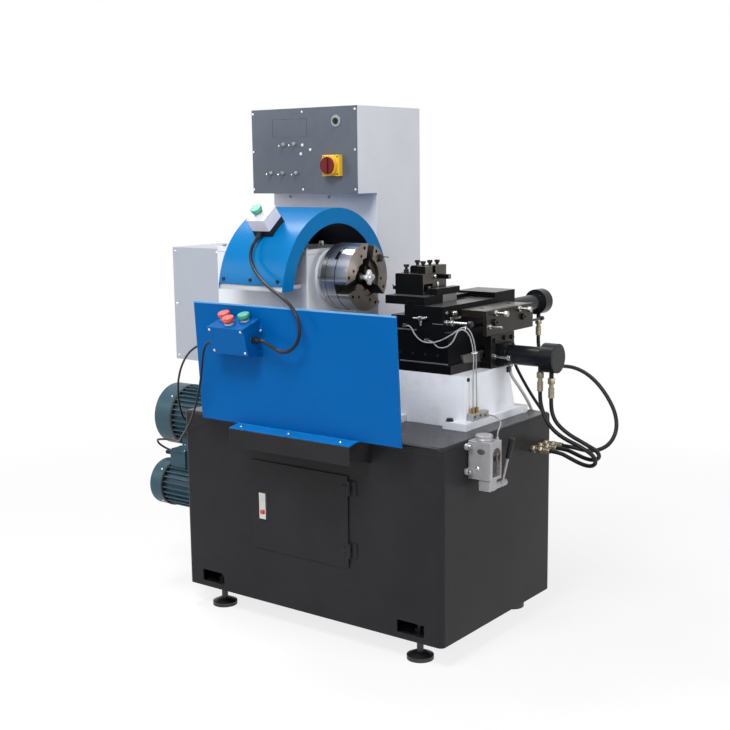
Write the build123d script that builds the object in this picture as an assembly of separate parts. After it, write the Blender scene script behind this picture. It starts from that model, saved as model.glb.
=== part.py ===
from build123d import *
import math
import os

# Frame: X runs along the spindle towards the tool slide, Y runs away from the operator, Z is up.
# The floor is Z = 0 and all sizes are millimetres.

# Base cabinet, its door opening and its feet
BASE_X = (-350.0, 650.0)
BASE_Y = (-373.0, 254.0)
BASE_Z = (68.0, 628.0)
BASE_CORNER = 16.0
BASE_WALL = 6.0
BASE_FLOOR = 10.0
TOP_Z = 648.0
FOOT_INSET_X = 110.0
FOOT_INSET_Y = 50.0
FOOT_STEM_R = 10.0
FOOT_STEM_TOP = 122.0
FOOT_PAD_R = 40.0
FOOT_PAD_THICK = 12.0
FOOT_CONE_TOP_R = 18.0
FOOT_CONE_HEIGHT = 10.0
FOOT_NUT_R = 17.0
FOOT_NUT_HEIGHT = 16.0
POCKET_WIDTH = 95.0
POCKET_Z = (86.0, 124.0)
TOP_EDGE = 10.0
DOOR_X = (-52.0, 322.0)
DOOR_Z = (244.0, 525.0)
DOOR_LAP = 10.0
DOOR_Y = (-378.0, -374.0)
HINGE_X = 329.0
HINGE_Y = -380.0
HINGE_HEIGHTS = (300.0, 490.0)
KNUCKLE_R = 6.0
KNUCKLE_HALF = 7.5
HINGE_HALF = 22.0
HINGE_LEAF = 26.0
HINGE_PIN_R = 3.0
LOCK_X = (-22.0, 4.0)
LOCK_Z = (342.0, 424.0)
LOCK_PROUD = 6.0
LOCK_DEPTH = 22.0
LOCK_BUTTON_XZ = (-9.0, 364.0)
LOCK_BUTTON_HALF = 6.0

# Front ledge, splash panel and button station
LEDGE_X = (-55.0, 405.0)
LEDGE_FRONT = -473.0
LEDGE_TOP = 640.0
LEDGE_RISE = 7.0
LEDGE_SHEET = 4.0
LEDGE_LIP_BOTTOM = 585.0
LEDGE_RIB_BOTTOM = (575.0, 598.0)
LEDGE_RIB_MIDDLE_X = 173.0
PANEL_X = (-206.0, 557.0)
PANEL_BOTTOM = 649.5
PANEL_FOOT_Y = -432.0
PANEL_HEIGHT = 378.0
PANEL_LEAN = 22.5
PANEL_SHEET = 3.0
GROMMET_XZ = (-110.0, 895.0)
GROMMET_R = 9.0
GROMMET_BACK = -428.0
STATION_X = (-79.0, 63.0)
STATION_TOP = 981.0
STATION_BOTTOM = 866.0
STATION_FRONT_TOP = (-530.0, 955.0)
STATION_FRONT_BOTTOM = (-507.0, 874.0)
STATION_WALL = 3.2
STATION_EAR_Z = (930.0, 962.0)
STATION_EAR_WIDTH = 14.0
STATION_EAR_THICK = 2.5
STATION_BUTTONS = {
    "stop_button_1": (-57.0, 60.0),
    "stop_button_2": (-15.0, 31.0),
    "start_button": (22.0, 60.0),
}
BUTTON_STEM_R = 8.0
BUTTON_STEM_DEPTH = 16.0
BUTTON_HEAD_R = 18.5
BUTTON_HEAD_Z = (11.0, 22.0)
BUTTON_HEAD_ROUND = 3.0
BEZEL_R = 15.0
BEZEL_THICK = 4.0
BUTTON_CLEARANCE = 0.4

# Spindle line
SPINDLE_Y = -100.0
SPINDLE_Z = 1080.0
HEAD_X = (-326.0, 55.0)
HEAD_Y = (-222.0, 22.0)
HEAD_TOP = 1152.0
COVER_TOP = 1168.0
HEAD_CORNER = 4.0
HEAD_FLANGE_PROUD = 20.0
HEAD_FLANGE_THICK = 24.0
HEAD_ROOM_END = 40.0
HEAD_ROOM_SIDE = 25.0
HEAD_ROOM_FLOOR = 110.0
BEARING_SEAT = 45.0
OIL_PLUG_XY = (-35.0, -38.0)
OIL_PLUG_NECK = 8.0
OIL_PLUG_HEX = 8.0
FRONT_BEARING_R = 65.0
REAR_BEARING_R = 60.0
FRONT_SHAFT_R = 42.5
REAR_SHAFT_R = 37.5
FIT = 0.05
SPINDLE_BORE_R = 23.0
SPINDLE_REAR = -427.0
SPINDLE_FLANGE_R = 80.0
DRAW_TUBE_X = (-495.0, 125.0)
DRAW_TUBE_R = (15.0, 20.0)
CHUCK_X = (93.0, 149.0)
CHUCK_R = 104.5
JAW_THICK = 45.0
JAW_GAP = 32.0
JAW_STEPS = ((60.0, 12.0), (42.0, 24.0), (24.0, JAW_THICK))
JAW_ANGLES = (73.0, 193.0, 313.0)
KEY_WIDTH = 31.4
SLIP = 0.3

# Belt drive
BELT_X = (-403.0, -385.0, -367.0)
BELT_WIDTH = 13.0
BELT_THICK = 10.0
SPINDLE_PULLEY_R = 70.0
MOTOR_PULLEY_R = 50.0
PULLEY_X = (-412.0, -358.0)
BELT_GUARD_X = (-543.0, -326.0)
BELT_GUARD_Y = (-210.0, 40.0)
BELT_GUARD_Z = (779.0, 1159.0)
SHEET = 3.0

# Motors
MOTOR_Y = -20.0
MOTOR_Z = 535.0
MOTOR_R = 110.5
SHELF_TOP = 423.0
SHELF_END = -690.0
SHELF_Y = (-140.0, 110.0)
SHELF_THICK = 12.0
GUSSET_TIP = -650.0
GUSSET_FOOT = 260.0
GUSSET_Y = (0.0, 95.0)
GUSSET_THICK = 10.0
PUMP_Y = -182.0
PUMP_Z = 330.0
PUMP_R = 78.0

# Chuck guard and its button box
GUARD_X = (-184.0, 78.0)
GUARD_Y = -100.0
GUARD_Z = 1026.0
GUARD_R = 267.0
GUARD_RIM_R = 218.0
GUARD_EDGE_Z = 1066.0
GUARD_BOX_X = -54.0
GUARD_BOX_ANGLE = 51.0
GUARD_BOX_SIZE = 72.0
GUARD_BOX_SPLIT = 20.0
GUARD_BOX_TOP = 62.0
GUARD_BUTTON_X = -8.0
GUARD_RAIL_REACH = (248.0, 260.0)
GUARD_RAIL_Z = (1049.0, 1071.0)
GUARD_ARM_Z = (1049.0, 1061.0)
GUARD_ARM_X = (-150.0, 0.0)
GUARD_ARM_WIDTH = 30.0

# Electrical cabinet and control panel
CABINET_X = (-490.0, -25.0)
COLUMN_Y = (254.0, 510.0)
CABINET_HEAD_Y = 147.0
CABINET_HEAD_Z = (1330.0, 1619.0)
PANEL_PLATE = 3.0
MAINS_XZ = (-120.0, 150.0)
MAINS_GLAND_R = 12.0
MAINS_BORE_R = 6.5
MAINS_GLAND_PROUD = 16.0
CONTACTOR_ROWS = (420.0, 640.0, 860.0, 1040.0)
CONTACTOR_COLUMNS = (-430.0, -330.0, -230.0, -130.0)
CONTACTOR_SIZE = (60.0, 80.0, 90.0)
ISOLATOR_XZ = (-122.0, 1424.0)
ISOLATOR_PLATE = (35.0, 20.0)
ISOLATOR_COLLAR = (33.0, 36.0)
ISOLATOR_KNOB = (28.5, 42.0)
ISOLATOR_GRIP = (5.0, 26.0, 47.0)
SELECTOR_XZ = (-111.0, 1571.0)
SELECTOR_COLLAR = 3.0
SELECTOR_KNOB = (10.0, 9.0)
SELECTOR_GRIP = (3.0, 9.0, 12.0)
TOGGLES_XZ = ((-343.0, 1497.0), (-296.0, 1498.0), (-402.0, 1401.0), (-349.0, 1400.0), (-288.0, 1400.0))
LAMPS_XZ = ((-258.0, 1494.0), (-223.0, 1478.0), (-265.0, 1465.0))
TOGGLE_TILT = 12.0
KNOB_GAP = 0.5

# Slide unit
PEDESTAL_X = (300.0, 560.0)
PEDESTAL_TOP = 805.0
SLIDE_Y = (-120.0, 130.0)
BED_X = (315.0, 515.0)
BED_TOP = 832.0
WAY_Y = 5.0
WAY_HALF = (50.0, 62.0)
WAY_HEIGHT = 24.0
LONG_X = (300.0, 507.0)
LONG_TOP = 930.0
LONG_STEP_Y = (-120.0, -62.0)
LONG_STEP_TOP = 974.0
SADDLE_X = (349.0, 488.0)
SADDLE_TOP = 1006.0
SADDLE_BACK = 299.0
CROSS_WAY_X = 371.0
CROSS_WAY_HALF = (13.0, 19.0)
CROSS_WAY_HEIGHT = 12.0
PLATE_X = (278.0, 420.0)
PLATE_APRON_Y = (-120.0, -22.0)
PLATE_Y = (-120.0, 60.0)
PLATE_TOP = 1032.0
POST_X = (287.0, 390.0)
POST_Y = (-80.0, 47.0)
POST_TOP = 1095.0
CLAMP_TOP = 1118.0
LONG_ROD_Y = 105.0
LONG_ROD_Z = 845.0
LONG_ROD_R = 14.0
CROSS_ROD_X = 460.0
CROSS_ROD_Z = 963.0
CROSS_ROD_R = 11.0
BRACKET_X = (534.0, 555.0)
BRACKET_Y = (42.0, 181.0)
BRACKET_TOP = 907.0
CONDUIT_TOP_XY = (548.0, 170.0)
CONDUIT_BACK_XZ = (573.0, 550.0)
STOP_PLATE_X = (570.0, 582.0)
STOP_BOLTS_Y = (20.0, 160.0)
STOP_BOLT_Z = 980.0
POST_SCREWS = (
    (316.0, -62.0, POST_TOP + 12), (331.0, -24.0, CLAMP_TOP), (370.0, -50.0, CLAMP_TOP),
    (362.0, -2.0, CLAMP_TOP), (374.0, 20.0, CLAMP_TOP))

# Oil pump and fittings on the base's right wall
PUMP_BODY_X = (650.0, 727.0)
PUMP_BODY_Y = (-240.0, -181.0)
PUMP_BODY_Z = (538.0, 648.0)
PUMP_EARS_Y = (-260.0, -161.0)
PUMP_EARS_Z = (560.0, 632.0)
PUMP_NIPPLE_XY = (716.0, -188.0)
LEVER_X = 698.0
LEVER_Z = 508.0
LEVER_Y = -132.0
LEVER_LEAN = 14.0
BULKHEADS_YZ = ((132.0, 552.0), (176.0, 553.0), (212.0, 554.0))
BACK_BULKHEAD_XZ = (600.0, 567.0)

# Routes of the free cords: diameter, then points chosen by hand along each one
ROUTES = {
    "hose_1": (12.5, [
        (690, 105, 742), (690, 105, 715), (699, 102, 686), (715, 97, 658), (738, 91, 634), (768, 85, 617),
        (801, 80, 605), (831, 77, 597), (858, 78, 585), (876, 87, 571), (881, 101, 552), (871, 114, 534),
        (850, 122, 525), (817, 127, 528), (780, 130, 540), (745, 132, 552), (712, 132, 552)]),
    "hose_2": (12.5, [
        (728, 105, 725), (728, 105, 700), (732, 106, 674), (745, 107, 649), (769, 108, 629), (798, 108, 613),
        (824, 110, 602), (851, 113, 589), (868, 123, 578), (874, 138, 561), (865, 151, 545), (845, 157, 536),
        (813, 165, 536), (778, 172, 544), (745, 176, 553), (712, 176, 553)]),
    "hose_3": (12.5, [
        (460, 508, 849.5), (460, 508, 826), (464, 506, 804), (473, 501.5, 784), (488, 494, 769),
        (510, 483, 760), (540, 467, 757), (585, 443, 762), (640, 412, 768), (697, 381, 762), (752, 354, 741),
        (806, 324, 704), (849, 297, 658), (866, 273, 610), (855, 250, 570), (825, 232, 549), (785, 219, 546),
        (747, 212, 554), (712, 212, 554)]),
    "hose_4": (10.0, [
        (460, 318, 879.5), (460, 318, 856), (462, 318, 828), (468, 319, 802), (478, 320, 778),
        (491, 321, 753), (507, 323, 726), (524, 326, 698), (541, 330, 671), (558, 335, 646), (574, 339, 622),
        (587, 339, 601), (595, 330, 584), (599, 316, 572), (600, 301, 567), (600, 284, 567)]),
    "button_cable": (10.5, [
        (-60, -311.65, 1211.04), (-60, -327.19, 1198.45), (-61, -345, 1178), (-49, -366, 1150),
        (-17, -389, 1122), (38, -417, 1091), (103, -443, 1066), (168, -465, 1047), (220, -479, 1017),
        (245, -487, 972), (240, -489, 928), (208, -489, 898), (166, -487, 892), (129, -485, 908),
        (100, -485, 920), (80, -485, 920)]),
    "motor_cable": (7.0, [
        (-110, -428, 895), (-110, -410, 895), (-117, -394, 894.5), (-129, -382, 893.5), (-146, -375, 892),
        (-170, -374, 888), (-195, -377, 884), (-235, -383, 876), (-285, -381, 857), (-335, -361, 831),
        (-385, -333, 798), (-435, -302, 757), (-480, -270, 706), (-512, -240, 661), (-535, -215, 625),
        (-549, -195, 594), (-556, -180, 569), (-554, -173, 559), (-548.5, -167, 550.5), (-539, -162.5, 544),
        (-528, -160, 541), (-512, -160, 541)]),
    "pump_cable": (7.0, [
        (-87, -497, 903), (-102, -497, 903), (-117, -497, 895), (-128, -496, 878), (-135, -495, 856),
        (-143, -492, 822), (-156, -486, 780), (-176, -478, 735), (-206, -464, 686), (-250, -439, 638),
        (-306, -409, 592), (-375, -367, 551), (-435, -311, 522), (-505, -268, 507), (-568, -246, 499),
        (-613, -240, 492), (-630, -233, 487), (-640, -224, 479.5), (-646, -213, 469), (-646, -204, 461),
        (-642, -195.5, 453.5), (-635, -188, 447), (-625.5, -183, 442.5), (-614, -180, 440),
        (-596, -180, 440)]),
    "oil_tube_1": (4.0, [
        (571, -66, 706), (571, -66, 740), (573, -71, 782), (577, -78, 826), (580, -85, 868), (580, -94, 904),
        (577, -103, 930), (569, -111, 948), (555, -117, 951), (540, -123, 941), (519, -129, 925),
        (494, -134, 911), (464, -137, 900), (433, -138, 899), (407, -135, 909), (389, -131, 926),
        (379, -127, 939), (368, -125.5, 944), (358, -125.5, 944)]),
    "oil_tube_2": (4.0, [
        (571, -86, 706), (571, -86, 740), (573, -89, 782), (577, -93, 826), (580, -98, 868), (580, -105, 898),
        (578, -111, 918), (575, -116, 931), (568, -121, 941), (558, -126, 945.5), (548, -130, 942),
        (542, -133, 931), (536, -135, 914), (523, -138, 898), (503, -138, 888), (482, -135, 887),
        (466, -131, 893), (454, -125.5, 903), (440, -125.5, 903)]),
    "oil_feed_tube": (4.0, [
        (716, -188, 656), (716, -188, 669), (718, -179, 683), (713, -163, 693), (692, -140, 696),
        (664, -106, 692), (641, -73, 686), (623, -47, 681.5), (611, -38, 680), (600, -34, 680),
        (586, -34, 680)]),
    "drain_conduit": (10.0, [
        (548, 170, 795), (548, 170, 779), (549, 181, 760), (551, 205, 737), (556, 236, 703), (562, 266, 664),
        (567, 287, 627), (570, 297, 594), (572, 294, 568),
        (573, 281, 554), (573, 268, 550), (573, 258, 550)]),
}
ARC_SHARE = 0.45


# Plain solids
def block(x_span, y_span, z_span):
    """A box from its spans along X, Y and Z."""
    corner = Pos(x_span[0], y_span[0], z_span[0])
    sizes = [span[1] - span[0] for span in (x_span, y_span, z_span)]
    return corner * Box(*sizes, align=(Align.MIN, Align.MIN, Align.MIN))


def upright(radius, length):
    """A cylinder that stands on the XY plane."""
    return Cylinder(radius, length, align=(Align.CENTER, Align.CENTER, Align.MIN))


def upright_box(side, height):
    return Box(side, side, height, align=(Align.CENTER, Align.CENTER, Align.MIN))


def rod_x(radius, x_span, y, z):
    return Pos(x_span[0], y, z) * Rot(0, 90, 0) * upright(radius, x_span[1] - x_span[0])


def rod_y(radius, x, y_span, z):
    return Pos(x, y_span[0], z) * Rot(-90, 0, 0) * upright(radius, y_span[1] - y_span[0])


def rod_z(radius, x, y, z_span):
    return Pos(x, y, z_span[0]) * upright(radius, z_span[1] - z_span[0])


def prism_x(points_yz, x_span):
    face = Plane.YZ.offset(x_span[0]) * Polygon(*points_yz, align=None)
    return extrude(face, amount=x_span[1] - x_span[0], dir=(1, 0, 0))


def prism_y(points_xz, y_span):
    face = Plane.XZ.offset(-y_span[0]) * Polygon(*points_xz, align=None)
    return extrude(face, amount=y_span[1] - y_span[0], dir=(0, 1, 0))


def rounded_prism(x_span, y_span, z_span, radius):
    """An upright box with rounded vertical corners."""
    outline = RectangleRounded(x_span[1] - x_span[0], y_span[1] - y_span[0], radius)
    middle = Pos((x_span[0] + x_span[1]) / 2, (y_span[0] + y_span[1]) / 2)
    return extrude(Plane.XY.offset(z_span[0]) * middle * outline, amount=z_span[1] - z_span[0])


def grown(span, amount):
    """A span made longer at both ends, or shorter where the amount is negative."""
    return (span[0] - amount, span[1] + amount)


def hex_x(radius, x_span, y, z):
    """A hexagon nut or head along X, sized across its corners."""
    face = Plane.YZ.offset(x_span[0]) * Pos(y, z) * RegularPolygon(radius, 6)
    return extrude(face, amount=x_span[1] - x_span[0])


def hex_z(radius, x, y, z_span):
    face = Plane.XY.offset(z_span[0]) * Pos(x, y) * RegularPolygon(radius, 6)
    return extrude(face, amount=z_span[1] - z_span[0])


def save(node, *solids):
    """Writes one node, a single solid or a group of separate ones."""
    shape = solids[0] if len(solids) == 1 else Compound(children=list(solids))
    export_step(shape, f"parts/{node}.step")


# Base
def foot_places():
    xs = (BASE_X[0] + FOOT_INSET_X, BASE_X[1] - FOOT_INSET_X)
    ys = (BASE_Y[0] + FOOT_INSET_Y, BASE_Y[1] - FOOT_INSET_Y)
    return [(x, y) for x in xs for y in ys]


def hinge_half(height, fixed):
    """One half of a butt hinge: two outer knuckles with the pin, or the middle knuckle."""
    middle = grown((height, height), KNUCKLE_HALF)
    end_gap = KNUCKLE_HALF + 0.5
    ends = ((height - HINGE_HALF, height - end_gap), (height + end_gap, height + HINGE_HALF))
    if not fixed:
        half = rod_z(KNUCKLE_R, HINGE_X, HINGE_Y, middle)
        half += block((HINGE_X - HINGE_LEAF, HINGE_X), (DOOR_Y[0] - 3, DOOR_Y[0]), middle)
        return half - rod_z(HINGE_PIN_R + FIT, HINGE_X, HINGE_Y, grown(middle, 1))
    half = rod_z(HINGE_PIN_R, HINGE_X, HINGE_Y, (ends[0][0], ends[1][1]))
    half += block((HINGE_X + 7.5, HINGE_X + 23), (BASE_Y[0] - 4, BASE_Y[0]), (ends[0][0], ends[1][1]))
    for end in ends:
        half += rod_z(KNUCKLE_R, HINGE_X, HINGE_Y, end)
        half += block((HINGE_X, HINGE_X + 8), (BASE_Y[0] - 4, BASE_Y[0]), end)
    return half


def base_cabinet():
    shell = rounded_prism(BASE_X, BASE_Y, BASE_Z, BASE_CORNER)
    room_x, room_y = grown(BASE_X, -BASE_WALL), grown(BASE_Y, -BASE_WALL)
    room_z = (BASE_Z[0] + BASE_FLOOR, BASE_Z[1])
    shell -= rounded_prism(room_x, room_y, room_z, BASE_CORNER - BASE_WALL)
    front_wall = (BASE_Y[0] - 1, BASE_Y[0] + BASE_WALL + 1)
    shell -= block(grown(DOOR_X, -DOOR_LAP), front_wall, grown(DOOR_Z, -DOOR_LAP))
    for x in (BASE_X[0] + FOOT_INSET_X, BASE_X[1] - FOOT_INSET_X):
        pocket_x = (x - POCKET_WIDTH / 2, x + POCKET_WIDTH / 2)
        for wall_y in (front_wall, (BASE_Y[1] - BASE_WALL - 1, BASE_Y[1] + 1)):
            shell -= block(pocket_x, wall_y, POCKET_Z)
    for x, y in foot_places():
        shell -= rod_z(FOOT_STEM_R + 1, x, y, (BASE_Z[0] - 1, BASE_Z[0] + BASE_FLOOR + 1))
    shell -= rod_x(60, (BASE_X[0] - 1, BASE_X[0] + BASE_WALL + 1), PUMP_Y, PUMP_Z)
    for y, z in BULKHEADS_YZ:
        shell -= rod_x(9, (BASE_X[1] - BASE_WALL - 1, BASE_X[1] + 1), y, z)
    bulkhead_x, bulkhead_z = BACK_BULKHEAD_XZ
    shell -= rod_y(9, bulkhead_x, (BASE_Y[1] - BASE_WALL - 1, BASE_Y[1] + 1), bulkhead_z)
    top = rounded_prism(BASE_X, BASE_Y, (BASE_Z[1], TOP_Z), BASE_CORNER)
    top = fillet(top.faces().sort_by(Axis.Z)[-1].edges(), TOP_EDGE)
    shelf_bottom = SHELF_TOP - SHELF_THICK
    shelf = block((SHELF_END, BASE_X[0]), SHELF_Y, (shelf_bottom, SHELF_TOP))
    gusset = [(BASE_X[0], shelf_bottom), (GUSSET_TIP, shelf_bottom), (BASE_X[0], GUSSET_FOOT)]
    for y in GUSSET_Y:
        shelf += prism_y(gusset, (y, y + GUSSET_THICK))
    hinges = [hinge_half(height, True) for height in HINGE_HEIGHTS]
    save("base_cabinet", shell, top, shelf, *hinges)


def levelling_feet():
    feet = []
    for x, y in foot_places():
        foot = rod_z(FOOT_PAD_R, x, y, (0, FOOT_PAD_THICK))
        cone = Cone(FOOT_PAD_R, FOOT_CONE_TOP_R, FOOT_CONE_HEIGHT,
                    align=(Align.CENTER, Align.CENTER, Align.MIN))
        foot += Pos(x, y, FOOT_PAD_THICK) * cone
        foot += rod_z(FOOT_STEM_R, x, y, (FOOT_PAD_THICK + FOOT_CONE_HEIGHT, FOOT_STEM_TOP))
        for low in (BASE_Z[0] - FOOT_NUT_HEIGHT, BASE_Z[0] + BASE_FLOOR):
            foot += hex_z(FOOT_NUT_R, x, y, (low, low + FOOT_NUT_HEIGHT))
        feet.append(foot)
    save("levelling_feet", *feet)


def cabinet_door():
    door = block(DOOR_X, DOOR_Y, DOOR_Z)
    door += block(LOCK_X, (DOOR_Y[0] - LOCK_PROUD, DOOR_Y[0]), LOCK_Z)
    door += block(grown(LOCK_X, -2), (DOOR_Y[1], DOOR_Y[1] + LOCK_DEPTH), grown(LOCK_Z, -8))
    button_x, button_z = LOCK_BUTTON_XZ
    half = LOCK_BUTTON_HALF
    room = half + SLIP
    hole_y = (DOOR_Y[0] - LOCK_PROUD - 1, DOOR_Y[1] + LOCK_DEPTH - 3)
    door -= block((button_x - room, button_x + room), hole_y, (button_z - room, button_z + room))
    for height in HINGE_HEIGHTS:
        door += hinge_half(height, False)
    save("cabinet_door", door)
    button_y = (DOOR_Y[0] - LOCK_PROUD - 4, DOOR_Y[1] + LOCK_DEPTH - 8)
    button = block((button_x - half, button_x + half), button_y, (button_z - half, button_z + half))
    save("door_lock_button", button)


# Front ledge, splash panel and button station
def panel_front(z):
    """Y of the leaning panel's front face at a height."""
    return PANEL_FOOT_Y - PANEL_LEAN * (z - LEDGE_TOP) / PANEL_HEIGHT


def front_ledge():
    inner_y = LEDGE_FRONT + LEDGE_SHEET
    under = LEDGE_TOP - LEDGE_SHEET
    crest_y, rise = PANEL_FOOT_Y + 1, LEDGE_RISE
    bend = [(BASE_Y[0], LEDGE_TOP + rise), (crest_y, LEDGE_TOP + rise), (LEDGE_FRONT, LEDGE_TOP),
            (LEDGE_FRONT, LEDGE_LIP_BOTTOM), (inner_y, LEDGE_LIP_BOTTOM), (inner_y, under),
            (crest_y, under + rise), (BASE_Y[0], under + rise)]
    ledge = prism_x(bend, LEDGE_X)
    rib_back, rib_front = LEDGE_RIB_BOTTOM
    rib = [(inner_y, under), (crest_y, under + rise), (BASE_Y[0], under + rise), (BASE_Y[0], rib_back),
           (inner_y, rib_front)]
    for x in (LEDGE_X[0], LEDGE_RIB_MIDDLE_X, LEDGE_X[1] - LEDGE_SHEET):
        ledge += prism_x(rib, (x, x + LEDGE_SHEET))
    save("front_ledge", ledge)


def splash_panel():
    top = LEDGE_TOP + PANEL_HEIGHT
    foot_y = panel_front(PANEL_BOTTOM)
    sheet = [(foot_y, PANEL_BOTTOM), (foot_y + PANEL_SHEET, PANEL_BOTTOM),
             (panel_front(top) + PANEL_SHEET, top), (panel_front(top), top)]
    panel = prism_x(sheet, PANEL_X)
    crest_y, crest_z = PANEL_FOOT_Y + 1, LEDGE_TOP + LEDGE_RISE
    flange = [(LEDGE_FRONT, LEDGE_TOP), (crest_y, crest_z), (foot_y + PANEL_SHEET, crest_z),
              (foot_y + PANEL_SHEET, crest_z + PANEL_SHEET), (crest_y, crest_z + PANEL_SHEET),
              (LEDGE_FRONT, LEDGE_TOP + PANEL_SHEET)]
    panel += prism_x(flange, LEDGE_X)
    cable_x, cable_z = GROMMET_XZ
    back = panel_front(cable_z - GROMMET_R) + PANEL_SHEET
    panel -= rod_y(6, cable_x, (back - 20, back + 1), cable_z)
    grommet = rod_y(GROMMET_R, cable_x, (back, GROMMET_BACK), cable_z)
    grommet += rod_y(5.5, cable_x, (back - PANEL_SHEET, back), cable_z)
    save("splash_panel", panel, grommet)


def station_slope():
    """Angle of the station's top above level, in degrees."""
    rise = STATION_TOP - STATION_FRONT_TOP[1]
    run = panel_front(STATION_TOP) - STATION_FRONT_TOP[0]
    return math.degrees(math.atan2(rise, run))


def station_plane(x, up_slope):
    """A plane on the station's top, at a distance from its front edge."""
    slope = math.radians(station_slope())
    y = STATION_FRONT_TOP[0] + up_slope * math.cos(slope)
    z = STATION_FRONT_TOP[1] + up_slope * math.sin(slope)
    return Plane(origin=(x, y, z), x_dir=(1, 0, 0), z_dir=(0, -math.sin(slope), math.cos(slope)))


def mushroom(plane):
    """A mushroom push button: stem through the wall, neck and rounded head."""
    low, high = BUTTON_HEAD_Z
    head = Pos(0, 0, low) * upright(BUTTON_HEAD_R, high - low)
    head = fillet(head.faces().sort_by(Axis.Z)[-1].edges(), BUTTON_HEAD_ROUND)
    stem = Pos(0, 0, -BUTTON_STEM_DEPTH) * upright(BUTTON_STEM_R, BUTTON_STEM_DEPTH + low + 1)
    return plane * (head + stem)


def bezel(plane):
    hole = Pos(0, 0, -1) * upright(BUTTON_STEM_R + BUTTON_CLEARANCE, BEZEL_THICK + 2)
    ring = upright(BEZEL_R, BEZEL_THICK) - hole
    return plane * ring


def button_station():
    wall = STATION_WALL
    outer = [(panel_front(STATION_TOP), STATION_TOP), STATION_FRONT_TOP, STATION_FRONT_BOTTOM,
             (panel_front(STATION_BOTTOM), STATION_BOTTOM)]
    inner = [(panel_front(STATION_TOP - wall) + 1, STATION_TOP - wall),
             (STATION_FRONT_TOP[0] + wall, STATION_FRONT_TOP[1] - wall),
             (STATION_FRONT_BOTTOM[0] + wall, STATION_FRONT_BOTTOM[1] + wall),
             (panel_front(STATION_BOTTOM + wall) + 1, STATION_BOTTOM + wall)]
    box = prism_x(outer, STATION_X) - prism_x(inner, grown(STATION_X, -wall))
    rings = []
    for x, up_slope in STATION_BUTTONS.values():
        plane = station_plane(x, up_slope)
        box -= plane * (Pos(0, 0, -10) * upright(BUTTON_STEM_R + BUTTON_CLEARANCE, 20))
        rings.append(bezel(plane))
    low, high = STATION_EAR_Z
    ear = [(panel_front(low), low), (panel_front(high), high),
           (panel_front(high) - STATION_EAR_THICK, high), (panel_front(low) - STATION_EAR_THICK, low)]
    left, right = STATION_X
    for x_span in ((left - STATION_EAR_WIDTH, left), (right, right + STATION_EAR_WIDTH)):
        box += prism_x(ear, x_span)
    right_gland = rod_x(10, (right, 80), -485, 920)
    left_gland = rod_x(7.5, (-87, left), -497, 903)
    save("button_station", box, right_gland, left_gland, *rings)
    for name, (x, up_slope) in STATION_BUTTONS.items():
        save(name, mushroom(station_plane(x, up_slope)))


# Headstock, spindle and chuck
def headstock():
    body = rounded_prism(HEAD_X, HEAD_Y, (TOP_Z, HEAD_TOP), HEAD_CORNER)
    body += block(HEAD_X, grown(HEAD_Y, HEAD_FLANGE_PROUD), (TOP_Z, TOP_Z + HEAD_FLANGE_THICK))
    room_z = (TOP_Z + HEAD_ROOM_FLOOR, HEAD_TOP)
    body -= block(grown(HEAD_X, -HEAD_ROOM_END), grown(HEAD_Y, -HEAD_ROOM_SIDE), room_z)
    body -= rod_x(REAR_BEARING_R, (HEAD_X[0] - 1, HEAD_X[0] + BEARING_SEAT), SPINDLE_Y, SPINDLE_Z)
    body -= rod_x(FRONT_BEARING_R, (HEAD_X[1] - BEARING_SEAT, HEAD_X[1] + 1), SPINDLE_Y, SPINDLE_Z)
    save("headstock", body)
    cover = rounded_prism(HEAD_X, HEAD_Y, (HEAD_TOP, COVER_TOP), HEAD_CORNER)
    plug_x, plug_y = OIL_PLUG_XY
    neck_top = COVER_TOP + OIL_PLUG_NECK
    plug = rod_z(9, plug_x, plug_y, (COVER_TOP, neck_top))
    plug += hex_z(8, plug_x, plug_y, (neck_top, neck_top + OIL_PLUG_HEX))
    save("headstock_cover", cover, plug)
    front_x = (HEAD_X[1] - 37, HEAD_X[1] - 3)
    rear_x = (HEAD_X[0] + 4, HEAD_X[0] + 36)
    front = rod_x(FRONT_BEARING_R - FIT, front_x, SPINDLE_Y, SPINDLE_Z)
    front -= rod_x(FRONT_SHAFT_R + FIT, grown(front_x, 1), SPINDLE_Y, SPINDLE_Z)
    rear = rod_x(REAR_BEARING_R - FIT, rear_x, SPINDLE_Y, SPINDLE_Z)
    rear -= rod_x(REAR_SHAFT_R + FIT, grown(rear_x, 1), SPINDLE_Y, SPINDLE_Z)
    cap_x = (HEAD_X[1], HEAD_X[1] + 10)
    cap = rod_x(86, cap_x, SPINDLE_Y, SPINDLE_Z)
    cap -= rod_x(FRONT_SHAFT_R + 1, grown(cap_x, 1), SPINDLE_Y, SPINDLE_Z)
    save("spindle_bearings", front, rear, cap)


def spindle():
    steps = [((SPINDLE_REAR, -330), 35), ((-330, -286), REAR_SHAFT_R), ((-286, 15), 41),
             ((15, 67), FRONT_SHAFT_R), ((67, CHUCK_X[0]), SPINDLE_FLANGE_R)]
    shaft = None
    for x_span, radius in steps:
        step = rod_x(radius, x_span, SPINDLE_Y, SPINDLE_Z)
        shaft = step if shaft is None else shaft + step
    shaft -= rod_x(SPINDLE_BORE_R, (SPINDLE_REAR - 1, CHUCK_X[0] + 1), SPINDLE_Y, SPINDLE_Z)
    save("spindle", shaft)
    bore_r, tube_r = DRAW_TUBE_R
    tube = rod_x(tube_r, DRAW_TUBE_X, SPINDLE_Y, SPINDLE_Z)
    tube -= rod_x(bore_r, grown(DRAW_TUBE_X, 1), SPINDLE_Y, SPINDLE_Z)
    save("draw_tube", tube)


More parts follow.
